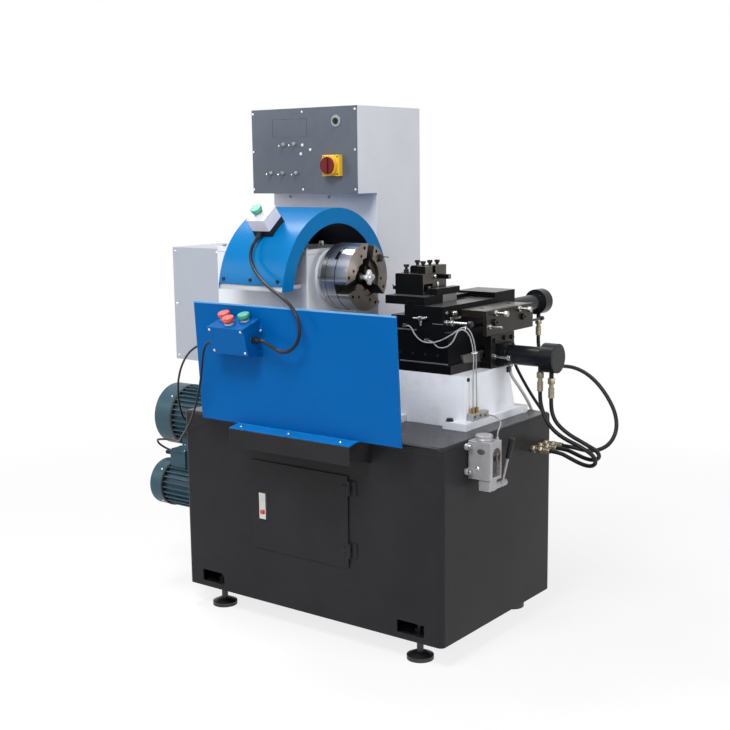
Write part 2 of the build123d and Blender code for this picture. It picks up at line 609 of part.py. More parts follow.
def around_spindle(angle):
    """A plane on the spindle axis whose X points outwards at an angle clockwise from the top."""
    turn = math.radians(angle)
    outward = (0, math.sin(turn), math.cos(turn))
    return Plane(origin=(0, SPINDLE_Y, SPINDLE_Z), x_dir=outward, z_dir=(1, 0, 0))


def chuck():
    body = rod_x(CHUCK_R, CHUCK_X, SPINDLE_Y, SPINDLE_Z)
    body -= rod_x(26, grown(CHUCK_X, 1), SPINDLE_Y, SPINDLE_Z)
    slot_depth = 14
    for angle in JAW_ANGLES:
        slot = Pos(20, -KEY_WIDTH / 2 - SLIP, CHUCK_X[1] - slot_depth)
        slot *= Box(100, KEY_WIDTH + 2 * SLIP, slot_depth + 1, align=(Align.MIN, Align.MIN, Align.MIN))
        body -= around_spindle(angle) * slot
    body += rod_x(13, (CHUCK_X[1] - 20, CHUCK_X[1] + 22), SPINDLE_Y, SPINDLE_Z)
    body += around_spindle(0) * Pos(0, 0, CHUCK_X[1] - 12) * Box(54, 10, 10)
    save("chuck_body", body)
    jaw_x = CHUCK_X[1] + SLIP
    reach = 2 * CHUCK_R
    apex = JAW_GAP / 2 / math.sin(math.radians(60))
    wedge = [(apex, 0), (apex + reach * 0.5, reach * math.sqrt(3) / 2), (apex + 2 * reach, 0),
             (apex + reach * 0.5, -reach * math.sqrt(3) / 2)]
    for number, angle in enumerate(JAW_ANGLES, start=1):
        pie = Circle(CHUCK_R) & Polygon(*wedge, align=None)
        jaw = Pos(0, 0, jaw_x) * extrude(pie, amount=JAW_THICK)
        for radius, depth in JAW_STEPS:
            jaw -= Pos(0, 0, jaw_x + JAW_THICK - depth) * upright(radius, depth + 1)
        for side in (-1, 1):
            hole = Rot(0, 0, 40 * side) * Pos(CHUCK_R - 13, 0, jaw_x + JAW_THICK - 14)
            jaw -= hole * upright(5.5, 20)
        key = Pos(34, -KEY_WIDTH / 2, jaw_x - 13.4)
        jaw += key * Box(62, KEY_WIDTH, 13.4 + 8, align=(Align.MIN, Align.MIN, Align.MIN))
        save(f"chuck_jaw_{number}", around_spindle(angle) * jaw)


# Belt drive
def belt_outline(spindle_r, motor_r):
    """The outline of a belt pulled tight round both pulleys."""
    at_spindle = Pos(SPINDLE_Y, SPINDLE_Z) * Circle(spindle_r)
    at_motor = Pos(MOTOR_Y, MOTOR_Z) * Circle(motor_r)
    return make_hull(at_spindle.edges() + at_motor.edges())


def grooved_pulley(radius, y, z):
    pulley = rod_x(radius, PULLEY_X, y, z)
    groove_half = BELT_WIDTH / 2 + 0.5
    for x in BELT_X:
        groove = (x - groove_half, x + groove_half)
        pulley -= rod_x(radius + 1, groove, y, z) - rod_x(radius - BELT_THICK - 0.4, groove, y, z)
    return pulley


def belt_drive():
    outer = belt_outline(SPINDLE_PULLEY_R + 0.5, MOTOR_PULLEY_R + 0.5)
    inner = belt_outline(SPINDLE_PULLEY_R - BELT_THICK + 0.2, MOTOR_PULLEY_R - BELT_THICK + 0.2)
    loop = outer - inner
    belts = []
    for x in BELT_X:
        side = Plane.YZ.offset(x - BELT_WIDTH / 2) * loop
        belts.append(extrude(side, amount=BELT_WIDTH, dir=(1, 0, 0)))
    save("drive_belts", *belts)
    pulley = grooved_pulley(SPINDLE_PULLEY_R, SPINDLE_Y, SPINDLE_Z)
    pulley -= rod_x(35 + FIT, grown(PULLEY_X, 1), SPINDLE_Y, SPINDLE_Z)
    cylinder_x = (SPINDLE_REAR - 93, SPINDLE_REAR)
    cylinder = rod_x(70, cylinder_x, SPINDLE_Y, SPINDLE_Z)
    cylinder -= rod_x(20.4, grown(cylinder_x, 1), SPINDLE_Y, SPINDLE_Z)
    save("spindle_drive", pulley, cylinder)


def belt_guard():
    box = block(BELT_GUARD_X, BELT_GUARD_Y, BELT_GUARD_Z)
    box -= block(grown(BELT_GUARD_X, -SHEET), grown(BELT_GUARD_Y, -SHEET), grown(BELT_GUARD_Z, -SHEET))
    box -= rod_x(60, (BELT_GUARD_X[1] - SHEET - 1, BELT_GUARD_X[1] + 1), SPINDLE_Y, SPINDLE_Z)
    chute_x = (-424, BASE_X[0] - 1)
    chute_y = (-178, 37)
    chute_z = (465, BELT_GUARD_Z[0])
    slot_z = (BELT_GUARD_Z[0] - 1, BELT_GUARD_Z[0] + SHEET + 1)
    box -= block(grown(chute_x, -SHEET), grown(chute_y, -SHEET), slot_z)
    chute = block(chute_x, chute_y, chute_z)
    chute -= block(grown(chute_x, -SHEET), grown(chute_y, -SHEET), (chute_z[0] + SHEET, chute_z[1] + 1))
    chute -= rod_x(30, (chute_x[0] - 1, chute_x[0] + SHEET + 1), MOTOR_Y, MOTOR_Z)
    save("belt_guard", box, chute)


# Motors
def finned_barrel(core_r, fin_r, fins, x_span, y, z):
    """A motor barrel with straight cooling fins along it."""
    fin = Pos((core_r + fin_r) / 2 - 2, 0) * Rectangle(fin_r - core_r + 4, 3.5)
    ring = Circle(core_r)
    for index in range(fins):
        ring += Rot(0, 0, 360 * index / fins) * fin
    return extrude(Plane.YZ.offset(x_span[0]) * Pos(y, z) * ring, amount=x_span[1] - x_span[0])


def fan_cover(radius, x_span, y, z):
    cover = rod_x(radius, x_span, y, z)
    return cover - rod_x(radius - 2.5, (x_span[0] + SHEET, x_span[1] + 1), y, z)


def main_motor():
    barrel_x = (-672, -452)
    foot_x = (-640, -480)
    frame = finned_barrel(98, MOTOR_R, 36, barrel_x, MOTOR_Y, MOTOR_Z)
    frame += rod_x(104, (-452, -432), MOTOR_Y, MOTOR_Z)
    for y_span in ((MOTOR_Y - 118, MOTOR_Y - 50), (MOTOR_Y + 50, MOTOR_Y + 118)):
        frame += block(foot_x, y_span, (SHELF_TOP, SHELF_TOP + 14))
    frame += block(foot_x, (MOTOR_Y - 85, MOTOR_Y + 85), (SHELF_TOP + 14, SHELF_TOP + 62))
    frame -= rod_x(62, (-660, -470), MOTOR_Y, MOTOR_Z)
    frame -= rod_x(16, (-673, -431), MOTOR_Y, MOTOR_Z)
    frame += block((-500, -430), (-190, -122), (495, 590))
    gland = rod_x(8, (-512, -500), -160, 541)
    cover = fan_cover(MOTOR_R + 0.5, (-750, barrel_x[0]), MOTOR_Y, MOTOR_Z)
    save("main_motor", frame, cover, gland)
    rotor = rod_x(14, (-742, PULLEY_X[1]), MOTOR_Y, MOTOR_Z)
    rotor += rod_x(60, (-650, -480), MOTOR_Y, MOTOR_Z)
    rotor += rod_x(92, (-732, -726), MOTOR_Y, MOTOR_Z)
    rotor += grooved_pulley(MOTOR_PULLEY_R, MOTOR_Y, MOTOR_Z)
    save("main_motor_rotor", rotor)


def pump_motor():
    barrel_x = (-592, -400)
    frame = finned_barrel(66, PUMP_R, 26, barrel_x, PUMP_Y, PUMP_Z)
    frame += rod_x(72, (-400, -374), PUMP_Y, PUMP_Z)
    frame += rod_x(55, (-374, -362), PUMP_Y, PUMP_Z)
    frame += rod_x(80, (-362, BASE_X[0]), PUMP_Y, PUMP_Z)
    frame -= rod_x(42, (-584, -412), PUMP_Y, PUMP_Z)
    frame -= rod_x(12, (-593, BASE_X[0] + 1), PUMP_Y, PUMP_Z)
    frame += block((-582, -511), (-220, -146), (394, 450))
    lid = block((-585, -508), (-223, -143), (450, 458))
    gland = rod_x(8, (-596, -582), -180, 440)
    cover = fan_cover(PUMP_R + 2, (-645, barrel_x[0]), PUMP_Y, PUMP_Z)
    save("pump_motor", frame, lid, cover, gland)
    rotor = rod_x(9.5, (-638, -270), PUMP_Y, PUMP_Z)
    rotor += rod_x(40, (-574, -422), PUMP_Y, PUMP_Z)
    rotor += rod_x(64, (-628, -623), PUMP_Y, PUMP_Z)
    save("pump_rotor", rotor)


def hose_fitting_x(x, y, z):
    """A bulkhead fitting through the right wall: inner nut, outer nut, body and crimped sleeve."""
    fitting = rod_x(8.5, (x - 22, x + 40), y, z)
    fitting += hex_x(10, (x - BASE_WALL - 14, x - BASE_WALL - 2), y, z)
    fitting += hex_x(12, (x, x + 12), y, z)
    fitting += hex_x(10.5, (x + 22, x + 36), y, z)
    return fitting + rod_x(8.8, (x + 36, x + 62), y, z)


def hydraulic_unit():
    inner_wall = BASE_X[0] + BASE_WALL
    pump = rod_x(75, (inner_wall, inner_wall + 10), PUMP_Y, PUMP_Z)
    pump += rod_x(45, (inner_wall + 10, -230), PUMP_Y, PUMP_Z)
    pump -= rod_x(20, (inner_wall - 1, -250), PUMP_Y, PUMP_Z)
    tank_x, tank_y, tank_z = (-150, 300), (-120, 190), (BASE_Z[0] + BASE_FLOOR, 356)
    tank = block(tank_x, tank_y, tank_z)
    tank -= block(grown(tank_x, -4), grown(tank_y, -4), (tank_z[0] + 4, tank_z[1] + 1))
    lid = block(grown(tank_x, 6), grown(tank_y, 6), (tank_z[1], tank_z[1] + 8))
    valves = block((-60, 120), (-20, 60), (364, 444))
    for x in (-20, 30, 80):
        valves += rod_y(20, x, (-90, -20), 405)
    fittings = [hose_fitting_x(BASE_X[1], y, z) for y, z in BULKHEADS_YZ]
    x, z = BACK_BULKHEAD_XZ
    back = rod_y(8.5, x, (BASE_Y[1] - 20, BASE_Y[1] + 30), z)
    back += Pos(x, BASE_Y[1], z) * Rot(-90, 0, 0) * extrude(RegularPolygon(12, 6), amount=12)
    save("hydraulic_unit", pump, tank, lid, valves, *fittings, back)


# Chuck guard
def chuck_guard():
    guard = rod_x(GUARD_R, GUARD_X, GUARD_Y, GUARD_Z)
    guard -= rod_x(GUARD_R - SHEET, grown(GUARD_X, -SHEET), GUARD_Y, GUARD_Z)
    guard -= rod_x(GUARD_RIM_R, grown(GUARD_X, 1), GUARD_Y, GUARD_Z)
    side = GUARD_R + 1
    under_y = (GUARD_Y - side, GUARD_Y + side)
    guard -= block(grown(GUARD_X, 1), under_y, (GUARD_Z - side, GUARD_RAIL_Z[0]))
    guard -= block(grown(GUARD_X, -SHEET), under_y, (GUARD_Z - side, GUARD_EDGE_Z))
    rail_x = grown(GUARD_X, -SHEET)
    rail_in, rail_out = GUARD_RAIL_REACH
    rails = []
    for face_y, sign in ((HEAD_Y[0], -1), (HEAD_Y[1], 1)):
        rail_y = sorted((GUARD_Y + sign * rail_out, GUARD_Y + sign * rail_in))
        rail = block(rail_x, rail_y, GUARD_RAIL_Z)
        arm_y = sorted((GUARD_Y + sign * rail_in, face_y))
        for x in GUARD_ARM_X:
            rail += block((x, x + GUARD_ARM_WIDTH), arm_y, GUARD_ARM_Z)
        rails.append(rail)
    save("chuck_guard", guard, *rails)


def guard_box_plane():
    angle = math.radians(GUARD_BOX_ANGLE)
    outward = (0, -math.cos(angle), math.sin(angle))
    origin = (GUARD_BOX_X, GUARD_Y + GUARD_R * outward[1], GUARD_Z + GUARD_R * outward[2])
    return Plane(origin=origin, x_dir=(1, 0, 0), z_dir=outward)


def guard_button_box():
    plane = guard_box_plane()
    half = GUARD_BOX_SIZE / 2
    split = GUARD_BOX_SPLIT
    base = plane * Pos(0, 0, -4) * upright_box(GUARD_BOX_SIZE, split + 4)
    base -= rod_x(GUARD_R + 0.2, GUARD_X, GUARD_Y, GUARD_Z)
    cover = upright_box(GUARD_BOX_SIZE, GUARD_BOX_TOP - split)
    cover = fillet(cover.edges().filter_by(Axis.Z), 4)
    cover -= upright_box(GUARD_BOX_SIZE - 6, GUARD_BOX_TOP - split - 3)
    cover -= Pos(GUARD_BUTTON_X, 0, 0) * upright(BUTTON_STEM_R + BUTTON_CLEARANCE, GUARD_BOX_TOP)
    cover = plane * Pos(0, 0, split) * cover
    gland = plane * Pos(-6, -half, 10) * Rot(90, 0, 0) * upright(8.5, 12)
    ring = bezel(plane * Pos(GUARD_BUTTON_X, 0, GUARD_BOX_TOP))
    save("guard_button_box", base, cover, gland, ring)
    save("guard_button", mushroom(plane * Pos(GUARD_BUTTON_X, 0, GUARD_BOX_TOP)))


# Electrical cabinet and control panel
def electrical_cabinet():
    head_y = (CABINET_HEAD_Y, COLUMN_Y[1])
    column_z = (0, CABINET_HEAD_Z[0])
    inner_x = grown(CABINET_X, -SHEET)
    column = block(CABINET_X, COLUMN_Y, column_z)
    column -= block(inner_x, grown(COLUMN_Y, -SHEET), (SHEET, column_z[1] + 1))
    head = block(CABINET_X, head_y, CABINET_HEAD_Z)
    head -= block(inner_x, grown(head_y, -SHEET), grown(CABINET_HEAD_Z, -SHEET))
    head -= block(inner_x, grown(COLUMN_Y, -SHEET), (column_z[1] - 1, column_z[1] + SHEET + 1))
    head -= block(grown(CABINET_X, -20), (head_y[0] - 1, head_y[0] + SHEET + 1), grown(CABINET_HEAD_Z, -20))
    back = COLUMN_Y[1]
    plate = block(grown(CABINET_X, -20), (back - 10, back - SHEET), (300, 1200))
    width, depth, height = CONTACTOR_SIZE
    for z in CONTACTOR_ROWS:
        for x in CONTACTOR_COLUMNS:
            plate += block((x, x + width), (back - 10 - depth, back - 10), (z, z + height))
    mains_x, mains_z = MAINS_XZ
    bore = rod_y(MAINS_BORE_R, mains_x, (back - SHEET - 1, back + MAINS_GLAND_PROUD + 1), mains_z)
    gland = rod_y(MAINS_GLAND_R, mains_x, (back, back + MAINS_GLAND_PROUD), mains_z) - bore
    save("electrical_cabinet", column - bore, head, plate, gland)


def control_panel():
    plate_y = (CABINET_HEAD_Y - PANEL_PLATE, CABINET_HEAD_Y)
    face = plate_y[0]
    plate = block(CABINET_X, plate_y, CABINET_HEAD_Z)
    shaft_r, knob_shaft_r, lever_hole_r = 8.0, 5.0, 4.2
    through = (face - 60, plate_y[1] + 1)
    x, z = ISOLATOR_XZ
    isolator_hole = rod_y(shaft_r + SLIP, x, through, z)
    plate -= isolator_hole
    half, plate_proud = ISOLATOR_PLATE
    collar_r, collar_proud = ISOLATOR_COLLAR
    knob_r, knob_proud = ISOLATOR_KNOB
    grip_half, grip_reach, grip_proud = ISOLATOR_GRIP
    housing = block(grown((x, x), half), (face - plate_proud, face), grown((z, z), half))
    housing += rod_y(collar_r, x, (face - collar_proud, face - plate_proud), z)
    housing -= isolator_hole
    knob_back = face - collar_proud - KNOB_GAP
    knob = rod_y(knob_r, x, (face - knob_proud, knob_back), z)
    grip_y = (face - grip_proud, face - knob_proud)
    knob += block(grown((x, x), grip_half), grip_y, grown((z, z), grip_reach))
    knob += rod_y(shaft_r, x, (knob_back, plate_y[1] + 8), z)
    save("isolator_knob", knob)
    x, z = SELECTOR_XZ
    selector_hole = rod_y(knob_shaft_r + SLIP, x, through, z)
    plate -= selector_hole
    collar = rod_y(19, x, (face - SELECTOR_COLLAR, face), z) - selector_hole
    knob_r, knob_proud = SELECTOR_KNOB
    grip_half, grip_reach, grip_proud = SELECTOR_GRIP
    knob_back = face - SELECTOR_COLLAR - KNOB_GAP
    selector = rod_y(knob_r, x, (face - knob_proud, knob_back), z)
    grip_y = (face - grip_proud, face - knob_proud)
    selector += block(grown((x, x), grip_half), grip_y, grown((z, z), grip_reach))
    selector += rod_y(knob_shaft_r, x, (knob_back, plate_y[1] + 8), z)
    save("selector_knob", selector)
    bushes = []
    pivot_y = face - 3
    for number, (x, z) in enumerate(TOGGLES_XZ, start=1):
        hole = rod_y(lever_hole_r, x, (face - 8, plate_y[1] + 1), z)
        plate -= hole
        bushes.append(rod_y(6, x, (face - 7, face), z) - hole)
        lever = Sphere(3.4) + Cone(2, 3.3, 24, align=(Align.CENTER, Align.CENTER, Align.MIN))
        lever += Pos(0, 0, 24) * Sphere(3.3)
        save(f"toggle_{number}", Pos(x, pivot_y, z) * Rot(90 + TOGGLE_TILT, 0, 0) * lever)
    lamps = [rod_y(4.5, x, (face - 4, face), z) for x, z in LAMPS_XZ]
    save("control_panel", plate, housing, collar, *bushes, *lamps)


# Slide unit
def way_outline(middle, halves, low, height, room):
    """A dovetail's outline, wider at its top, with room all round for the groove."""
    bottom, top = halves
    return [(middle - bottom - room, low), (middle + bottom + room, low),
            (middle + top + room, low + height + room), (middle - top - room, low + height + room)]


def pedestal():
    front, ceiling = SLIDE_Y[0], PEDESTAL_TOP - 20
    outer = [(front, TOP_Z), (185, TOP_Z), (185, 668), (176, 680), (135, PEDESTAL_TOP),
             (front, PEDESTAL_TOP)]
    inner = [(front + 20, TOP_Z - 1), (155, TOP_Z - 1), (112, ceiling), (front + 20, ceiling)]
    body = prism_x(outer, PEDESTAL_X) - prism_x(inner, grown(PEDESTAL_X, -20))
    foot_z = (TOP_Z, TOP_Z + 22)
    for x_span in ((PEDESTAL_X[0] - 25, PEDESTAL_X[0]), (PEDESTAL_X[1], PEDESTAL_X[1] + 25)):
        body += block(x_span, (SLIDE_Y[0], 185), foot_z)
    for x_span in ((275, 355), (505, 588)):
        body += block(x_span, (SLIDE_Y[0] - 32, SLIDE_Y[0]), foot_z)
        body += block(x_span, (185, 212), foot_z)
    save("pedestal", body)


def slide_bed():
    bed = block(BED_X, SLIDE_Y, (PEDESTAL_TOP, BED_TOP))
    bed += prism_x(way_outline(WAY_Y, WAY_HALF, BED_TOP, WAY_HEIGHT, 0), BED_X)
    face = BRACKET_X[1]
    bed += block((BED_X[1], face), (BRACKET_Y[0], SLIDE_Y[1]), (PEDESTAL_TOP, PEDESTAL_TOP + 20))
    bed += block(BRACKET_X, BRACKET_Y, (PEDESTAL_TOP, BRACKET_TOP))
    bed -= rod_x(LONG_ROD_R + SLIP, (BED_X[0] + 130, face + 1), LONG_ROD_Y, LONG_ROD_Z)
    bolt_y, bolt_z = 57, 842
    stop_bolt = rod_x(4.5, (face, 604), bolt_y, bolt_z) + hex_x(8.5, (604, 616), bolt_y, bolt_z)
    stop_bolt += hex_x(9.5, (face, face + 9), bolt_y, bolt_z)
    conduit_gland = rod_z(9, *CONDUIT_TOP_XY, (PEDESTAL_TOP - 10, PEDESTAL_TOP))
    gland_x, gland_z = CONDUIT_BACK_XZ
    back_gland = rod_y(9, gland_x, (BASE_Y[1], BASE_Y[1] + 4), gland_z)
    save("slide_bed", bed, stop_bolt, conduit_gland, back_gland)


def long_slide():
    slide = block(LONG_X, SLIDE_Y, (BED_TOP + 0.4, LONG_TOP))
    slide -= prism_x(way_outline(WAY_Y, WAY_HALF, BED_TOP, WAY_HEIGHT, 0.4), grown(LONG_X, 1))
    slide += block((LONG_X[0], SADDLE_X[0]), LONG_STEP_Y, (LONG_TOP, LONG_STEP_TOP))
    slide += block(SADDLE_X, (SLIDE_Y[0], SADDLE_BACK), (LONG_TOP, SADDLE_TOP))
    rear_y = (175, SADDLE_BACK)
    slide += block(SADDLE_X, rear_y, (SADDLE_TOP, SADDLE_TOP + 18))
    way = way_outline(CROSS_WAY_X, CROSS_WAY_HALF, SADDLE_TOP, CROSS_WAY_HEIGHT, 0)
    slide += prism_y(way, (SLIDE_Y[0], rear_y[0]))
    slide -= block((394, 478), (-75, rear_y[0]), (944, 985))
    slide -= block((396, 416), (-75, 130), (984, SADDLE_TOP + 1))
    slide -= rod_y(CROSS_ROD_R + SLIP, CROSS_ROD_X, (rear_y[0] - 1, SADDLE_BACK + 1), CROSS_ROD_Z)
    slide += block((349, 358), (-131, SLIDE_Y[0]), (938, 950))
    slide += block((428, 440), (-131, SLIDE_Y[0]), (897, 909))
    rod = rod_x(LONG_ROD_R, (LONG_X[1], 625), LONG_ROD_Y, LONG_ROD_Z)
    rod += rod_x(24.6, (625, 645), LONG_ROD_Y, LONG_ROD_Z)
    save("long_slide", slide, rod)


def stop_plate():
    near, far = STOP_PLATE_X
    side_plate = block((SADDLE_X[1], near), (-25, 240), (970, 990))
    end_plate = block(STOP_PLATE_X, (-28, 250), (915, 990))
    bolts = []
    for y in STOP_BOLTS_Y:
        bolt = rod_x(4.5, (far, 616), y, STOP_BOLT_Z) + hex_x(9, (616, 626), y, STOP_BOLT_Z)
        bolts.append(bolt)
    pin = rod_x(3.5, (far, 628), -16, 943) + hex_x(7.5, (far, far + 7), -16, 943)
    end_pin = rod_y(4, 576, (250, 312), 933) + rod_y(7, 576, (312, 324), 933)
    tie_y, tie_z = -108, 959
    tie_rod = rod_x(5, (SADDLE_X[1], 568), tie_y, tie_z)
    tie_rod += hex_x(9, (SADDLE_X[1], SADDLE_X[1] + 9), tie_y, tie_z)
    save("stop_plate", side_plate, end_plate, *bolts, pin, end_pin, tie_rod)


def port_fitting(x, y, z_span):
    """A hose port: nut at the cylinder and a crimped sleeve below it."""
    low, high = z_span
    fitting = rod_z(7, x, y, z_span) + hex_z(12, x, y, (high - 34, high - 18))
    return fitting + rod_z(9, x, y, (low, low + 28))


def long_cylinder():
    tube_x, cap_x = (555, 705), (705, 750)
    tube = rod_x(30, tube_x, LONG_ROD_Y, LONG_ROD_Z) + rod_x(44.5, cap_x, LONG_ROD_Y, LONG_ROD_Z)
    flange_x, flange_half = (555, 580), 34
    middle = (LONG_ROD_Y, LONG_ROD_Y), (LONG_ROD_Z, LONG_ROD_Z)
    tube += block(flange_x, *[grown(span, flange_half) for span in middle])
    tube -= rod_x(25, (558, 703), LONG_ROD_Y, LONG_ROD_Z)
    tube -= rod_x(LONG_ROD_R + SLIP, (554, 559), LONG_ROD_Y, LONG_ROD_Z)
    ports = [port_fitting(690, LONG_ROD_Y, (742, 816)), port_fitting(728, LONG_ROD_Y, (725, 801))]
    save("long_cylinder", tube, *ports)


def cross_slide():
    plate = block(PLATE_X, PLATE_Y, (SADDLE_TOP + 0.4, PLATE_TOP))
    way = way_outline(CROSS_WAY_X, CROSS_WAY_HALF, SADDLE_TOP, CROSS_WAY_HEIGHT, 0.4)
    plate -= prism_y(way, grown(PLATE_Y, 1))
    lug_y = (20, 40)
    plate += block((398, 414), lug_y, (950, SADDLE_TOP + 1))
    plate += block((398, 474), lug_y, (950, 976))
    plate += block((PLATE_X[1], PLATE_X[1] + 3), PLATE_APRON_Y, (SADDLE_TOP + 0.4, PLATE_TOP))
    clamp_bar = block((404, 430), (-64, 62), (PLATE_TOP, PLATE_TOP + 20))
    rod = rod_y(CROSS_ROD_R, CROSS_ROD_X, (lug_y[1], 380), CROSS_ROD_Z)
    rod += rod_y(20.6, CROSS_ROD_X, (380, 398), CROSS_ROD_Z)
    save("cross_slide", plate, clamp_bar, rod)


def tool_post():
    lower = block(POST_X, POST_Y, (PLATE_TOP, POST_TOP))
    lower = fillet(lower.edges().filter_by(Axis.Y).sort_by(Axis.Z)[-2:].sort_by(Axis.X)[:1], 4)
    clamp_z = (POST_TOP, CLAMP_TOP)
    front_clamp = block((362, POST_X[1]), (-68, -30), clamp_z)
    back_clamp = block((346, POST_X[1]), (-12, POST_Y[1]), clamp_z)
    holder = block((322, 352), (-50, -2), clamp_z)
    holder = chamfer(holder.edges().filter_by(Axis.Y).sort_by(Axis.Z)[-2:], 5)
    spacer_x, spacer_y, spacer_top = POST_SCREWS[0]
    spacer = hex_z(9, spacer_x, spacer_y, (POST_TOP, spacer_top))
    through = grown(POST_X, 1)
    main_bar_y, main_bar_z = (2, 16), (SPINDLE_Z - 3, SPINDLE_Z + 11)
    low_bar_y, low_bar_z = (-64, -50), (1044, 1058)
    lower -= block(through, (-76, -28), (1042, 1064))
    lower -= block(through, (-10, 22), main_bar_z)
    post = lower + front_clamp + back_clamp + holder + spacer
    main_bar = block((258, 428), main_bar_y, main_bar_z)
    low_bar = block((266, 398), low_bar_y, low_bar_z)
    screws = []
    for x, y, z in POST_SCREWS:
        neck = rod_z(4.5, x, y, (z, z + 6))
        flare = Pos(x, y, z + 4) * Cone(4.5, 8, 5, align=(Align.CENTER, Align.CENTER, Align.MIN))
        screws.append(neck + flare + Pos(x, y, z + 8) * upright_box(12, 7))
    save("tool_post", post, main_bar, low_bar, *screws)


def cross_cylinder():
    tube_y, cap_y = (SADDLE_BACK, 486), (486, 530)
    tube = rod_y(26.5, CROSS_ROD_X, tube_y, CROSS_ROD_Z) + rod_y(42, CROSS_ROD_X, cap_y, CROSS_ROD_Z)
    tube -= rod_y(21, CROSS_ROD_X, (SADDLE_BACK + 3, 484), CROSS_ROD_Z)
    tube -= rod_y(CROSS_ROD_R + SLIP, CROSS_ROD_X, (SADDLE_BACK - 1, SADDLE_BACK + 4), CROSS_ROD_Z)
    ports = [port_fitting(CROSS_ROD_X, 508, (850, 921.5)), port_fitting(CROSS_ROD_X, 318, (880, 937))]
    save("cross_cylinder", tube, *ports)


# Hand oil pump
def oil_pump():
    body = block(PUMP_BODY_X, PUMP_BODY_Y, PUMP_BODY_Z)
    body = fillet(body.edges().filter_by(Axis.Z), 4)
    middle_x, middle_y = 686, -211
    cap = rod_z(24, middle_x, middle_y, (PUMP_BODY_Z[1], PUMP_BODY_Z[1] + 16))
    lower = block((684, 720), (-236, -198), (506, PUMP_BODY_Z[0]))
    for z in PUMP_EARS_Z:
        ear = block((BASE_X[1], BASE_X[1] + 9), PUMP_EARS_Y, (z - 9, z + 9))
        body += fillet(ear.edges().filter_by(Axis.X), 8)
    boss = rod_y(10, LEVER_X, (-200, -148), LEVER_Z) + rod_y(6, LEVER_X, (-148, -114), LEVER_Z)
    nipple = rod_z(4, *PUMP_NIPPLE_XY, (PUMP_BODY_Z[1], 656))
    manifold = block((562, 582), (-104, -14), (TOP_Z + 22, TOP_Z + 42))
    for y in (-66, -86):
        manifold += hex_z(7, 571, y, (TOP_Z + 42, 706))
    manifold += rod_x(5, (582, 586), -34, 680)
    save("oil_pump", body + cap + lower + boss + nipple, manifold)
    hub = rod_y(11, LEVER_X, (-146, -118), LEVER_Z)
    arm = Pos(LEVER_X, LEVER_Y, LEVER_Z) * Rot(0, LEVER_LEAN, 0)
    grip = Cone(7, 9, 62, align=(Align.CENTER, Align.CENTER, Align.MIN))
    lever = hub + arm * upright(4.5, 80) + arm * Pos(0, 0, 78) * grip
    lever -= rod_y(6 + FIT, LEVER_X, (-147, -117), LEVER_Z)
    save("oil_pump_lever", lever)


# Free cords
def cord(name, diameter, points):
    """A tube along straight runs joined by arcs as large as the runs allow."""
    places = [Vector(*point) for point in points]
    radii = []
    for before, here, after in zip(places, places[1:], places[2:]):
        half_turn = math.radians((here - before).get_angle(after - here)) / 2
        shorter = min((here - before).length, (after - here).length)
        radii.append(ARC_SHARE * shorter / math.tan(half_turn))
    path = FilletPolyline(*points, radius=radii)
    section = Plane(origin=places[0], z_dir=places[1] - places[0]) * Circle(diameter / 2)
    tube = sweep(section, path=path)
    expected = math.pi * diameter ** 2 / 4 * path.length
    print(f"{name}: length {path.length:.0f} mm, volume over section x length {tube.volume / expected:.4f}")
    print("  radii " + " ".join(f"{radius:.0f}" for radius in radii))
    save(name, tube)


os.makedirs("parts", exist_ok=True)
base_cabinet()
levelling_feet()
cabinet_door()
front_ledge()
splash_panel()
button_station()
headstock()
spindle()
chuck()
belt_drive()
belt_guard()
main_motor()
pump_motor()
hydraulic_unit()
chuck_guard()
guard_button_box()
electrical_cabinet()
control_panel()
pedestal()
slide_bed()
long_slide()
stop_plate()
long_cylinder()
cross_slide()
tool_post()
cross_cylinder()
oil_pump()
for cord_name, (cord_diameter, cord_points) in ROUTES.items():
    cord(cord_name, cord_diameter, cord_points)
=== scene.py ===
import math
import bmesh
import bpy
from mathutils import Matrix, Vector


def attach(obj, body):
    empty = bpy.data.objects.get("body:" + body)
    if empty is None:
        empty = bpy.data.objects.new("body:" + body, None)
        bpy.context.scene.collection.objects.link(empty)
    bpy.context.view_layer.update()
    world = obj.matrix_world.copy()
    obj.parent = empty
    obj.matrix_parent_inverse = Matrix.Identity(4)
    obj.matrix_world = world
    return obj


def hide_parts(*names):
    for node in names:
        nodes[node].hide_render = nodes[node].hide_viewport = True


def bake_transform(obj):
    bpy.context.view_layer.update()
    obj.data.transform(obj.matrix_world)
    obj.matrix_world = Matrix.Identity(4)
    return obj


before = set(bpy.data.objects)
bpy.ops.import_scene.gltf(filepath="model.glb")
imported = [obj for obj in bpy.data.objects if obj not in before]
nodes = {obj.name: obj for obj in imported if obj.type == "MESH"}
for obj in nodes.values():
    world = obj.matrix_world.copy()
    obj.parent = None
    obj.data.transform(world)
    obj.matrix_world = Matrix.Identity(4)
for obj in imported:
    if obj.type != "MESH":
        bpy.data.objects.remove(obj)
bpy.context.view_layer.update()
scene = bpy.context.scene


# The studio: a white seamless floor, soft light from overhead, the front and both sides,
# and the camera at the photograph's place.
def node(tree, kind, inputs=None, **settings):
    """Adds a node, applies its settings, then fills or links its inputs."""
    made = tree.nodes.new(kind)
    for key, value in settings.items():
        setattr(made, key, value)
    for key, value in (inputs or {}).items():
        if isinstance(value, bpy.types.NodeSocket):
            tree.links.new(value, made.inputs[key])
        else:
            made.inputs[key].default_value = value
    return made


def output(tree, kind, inputs=None, **settings):
    """The first output of a new node."""
    return node(tree, kind, inputs, **settings).outputs[0]


def calc(tree, operation, one, two):
    return output(tree, "ShaderNodeMath", {0: one, 1: two}, operation=operation)


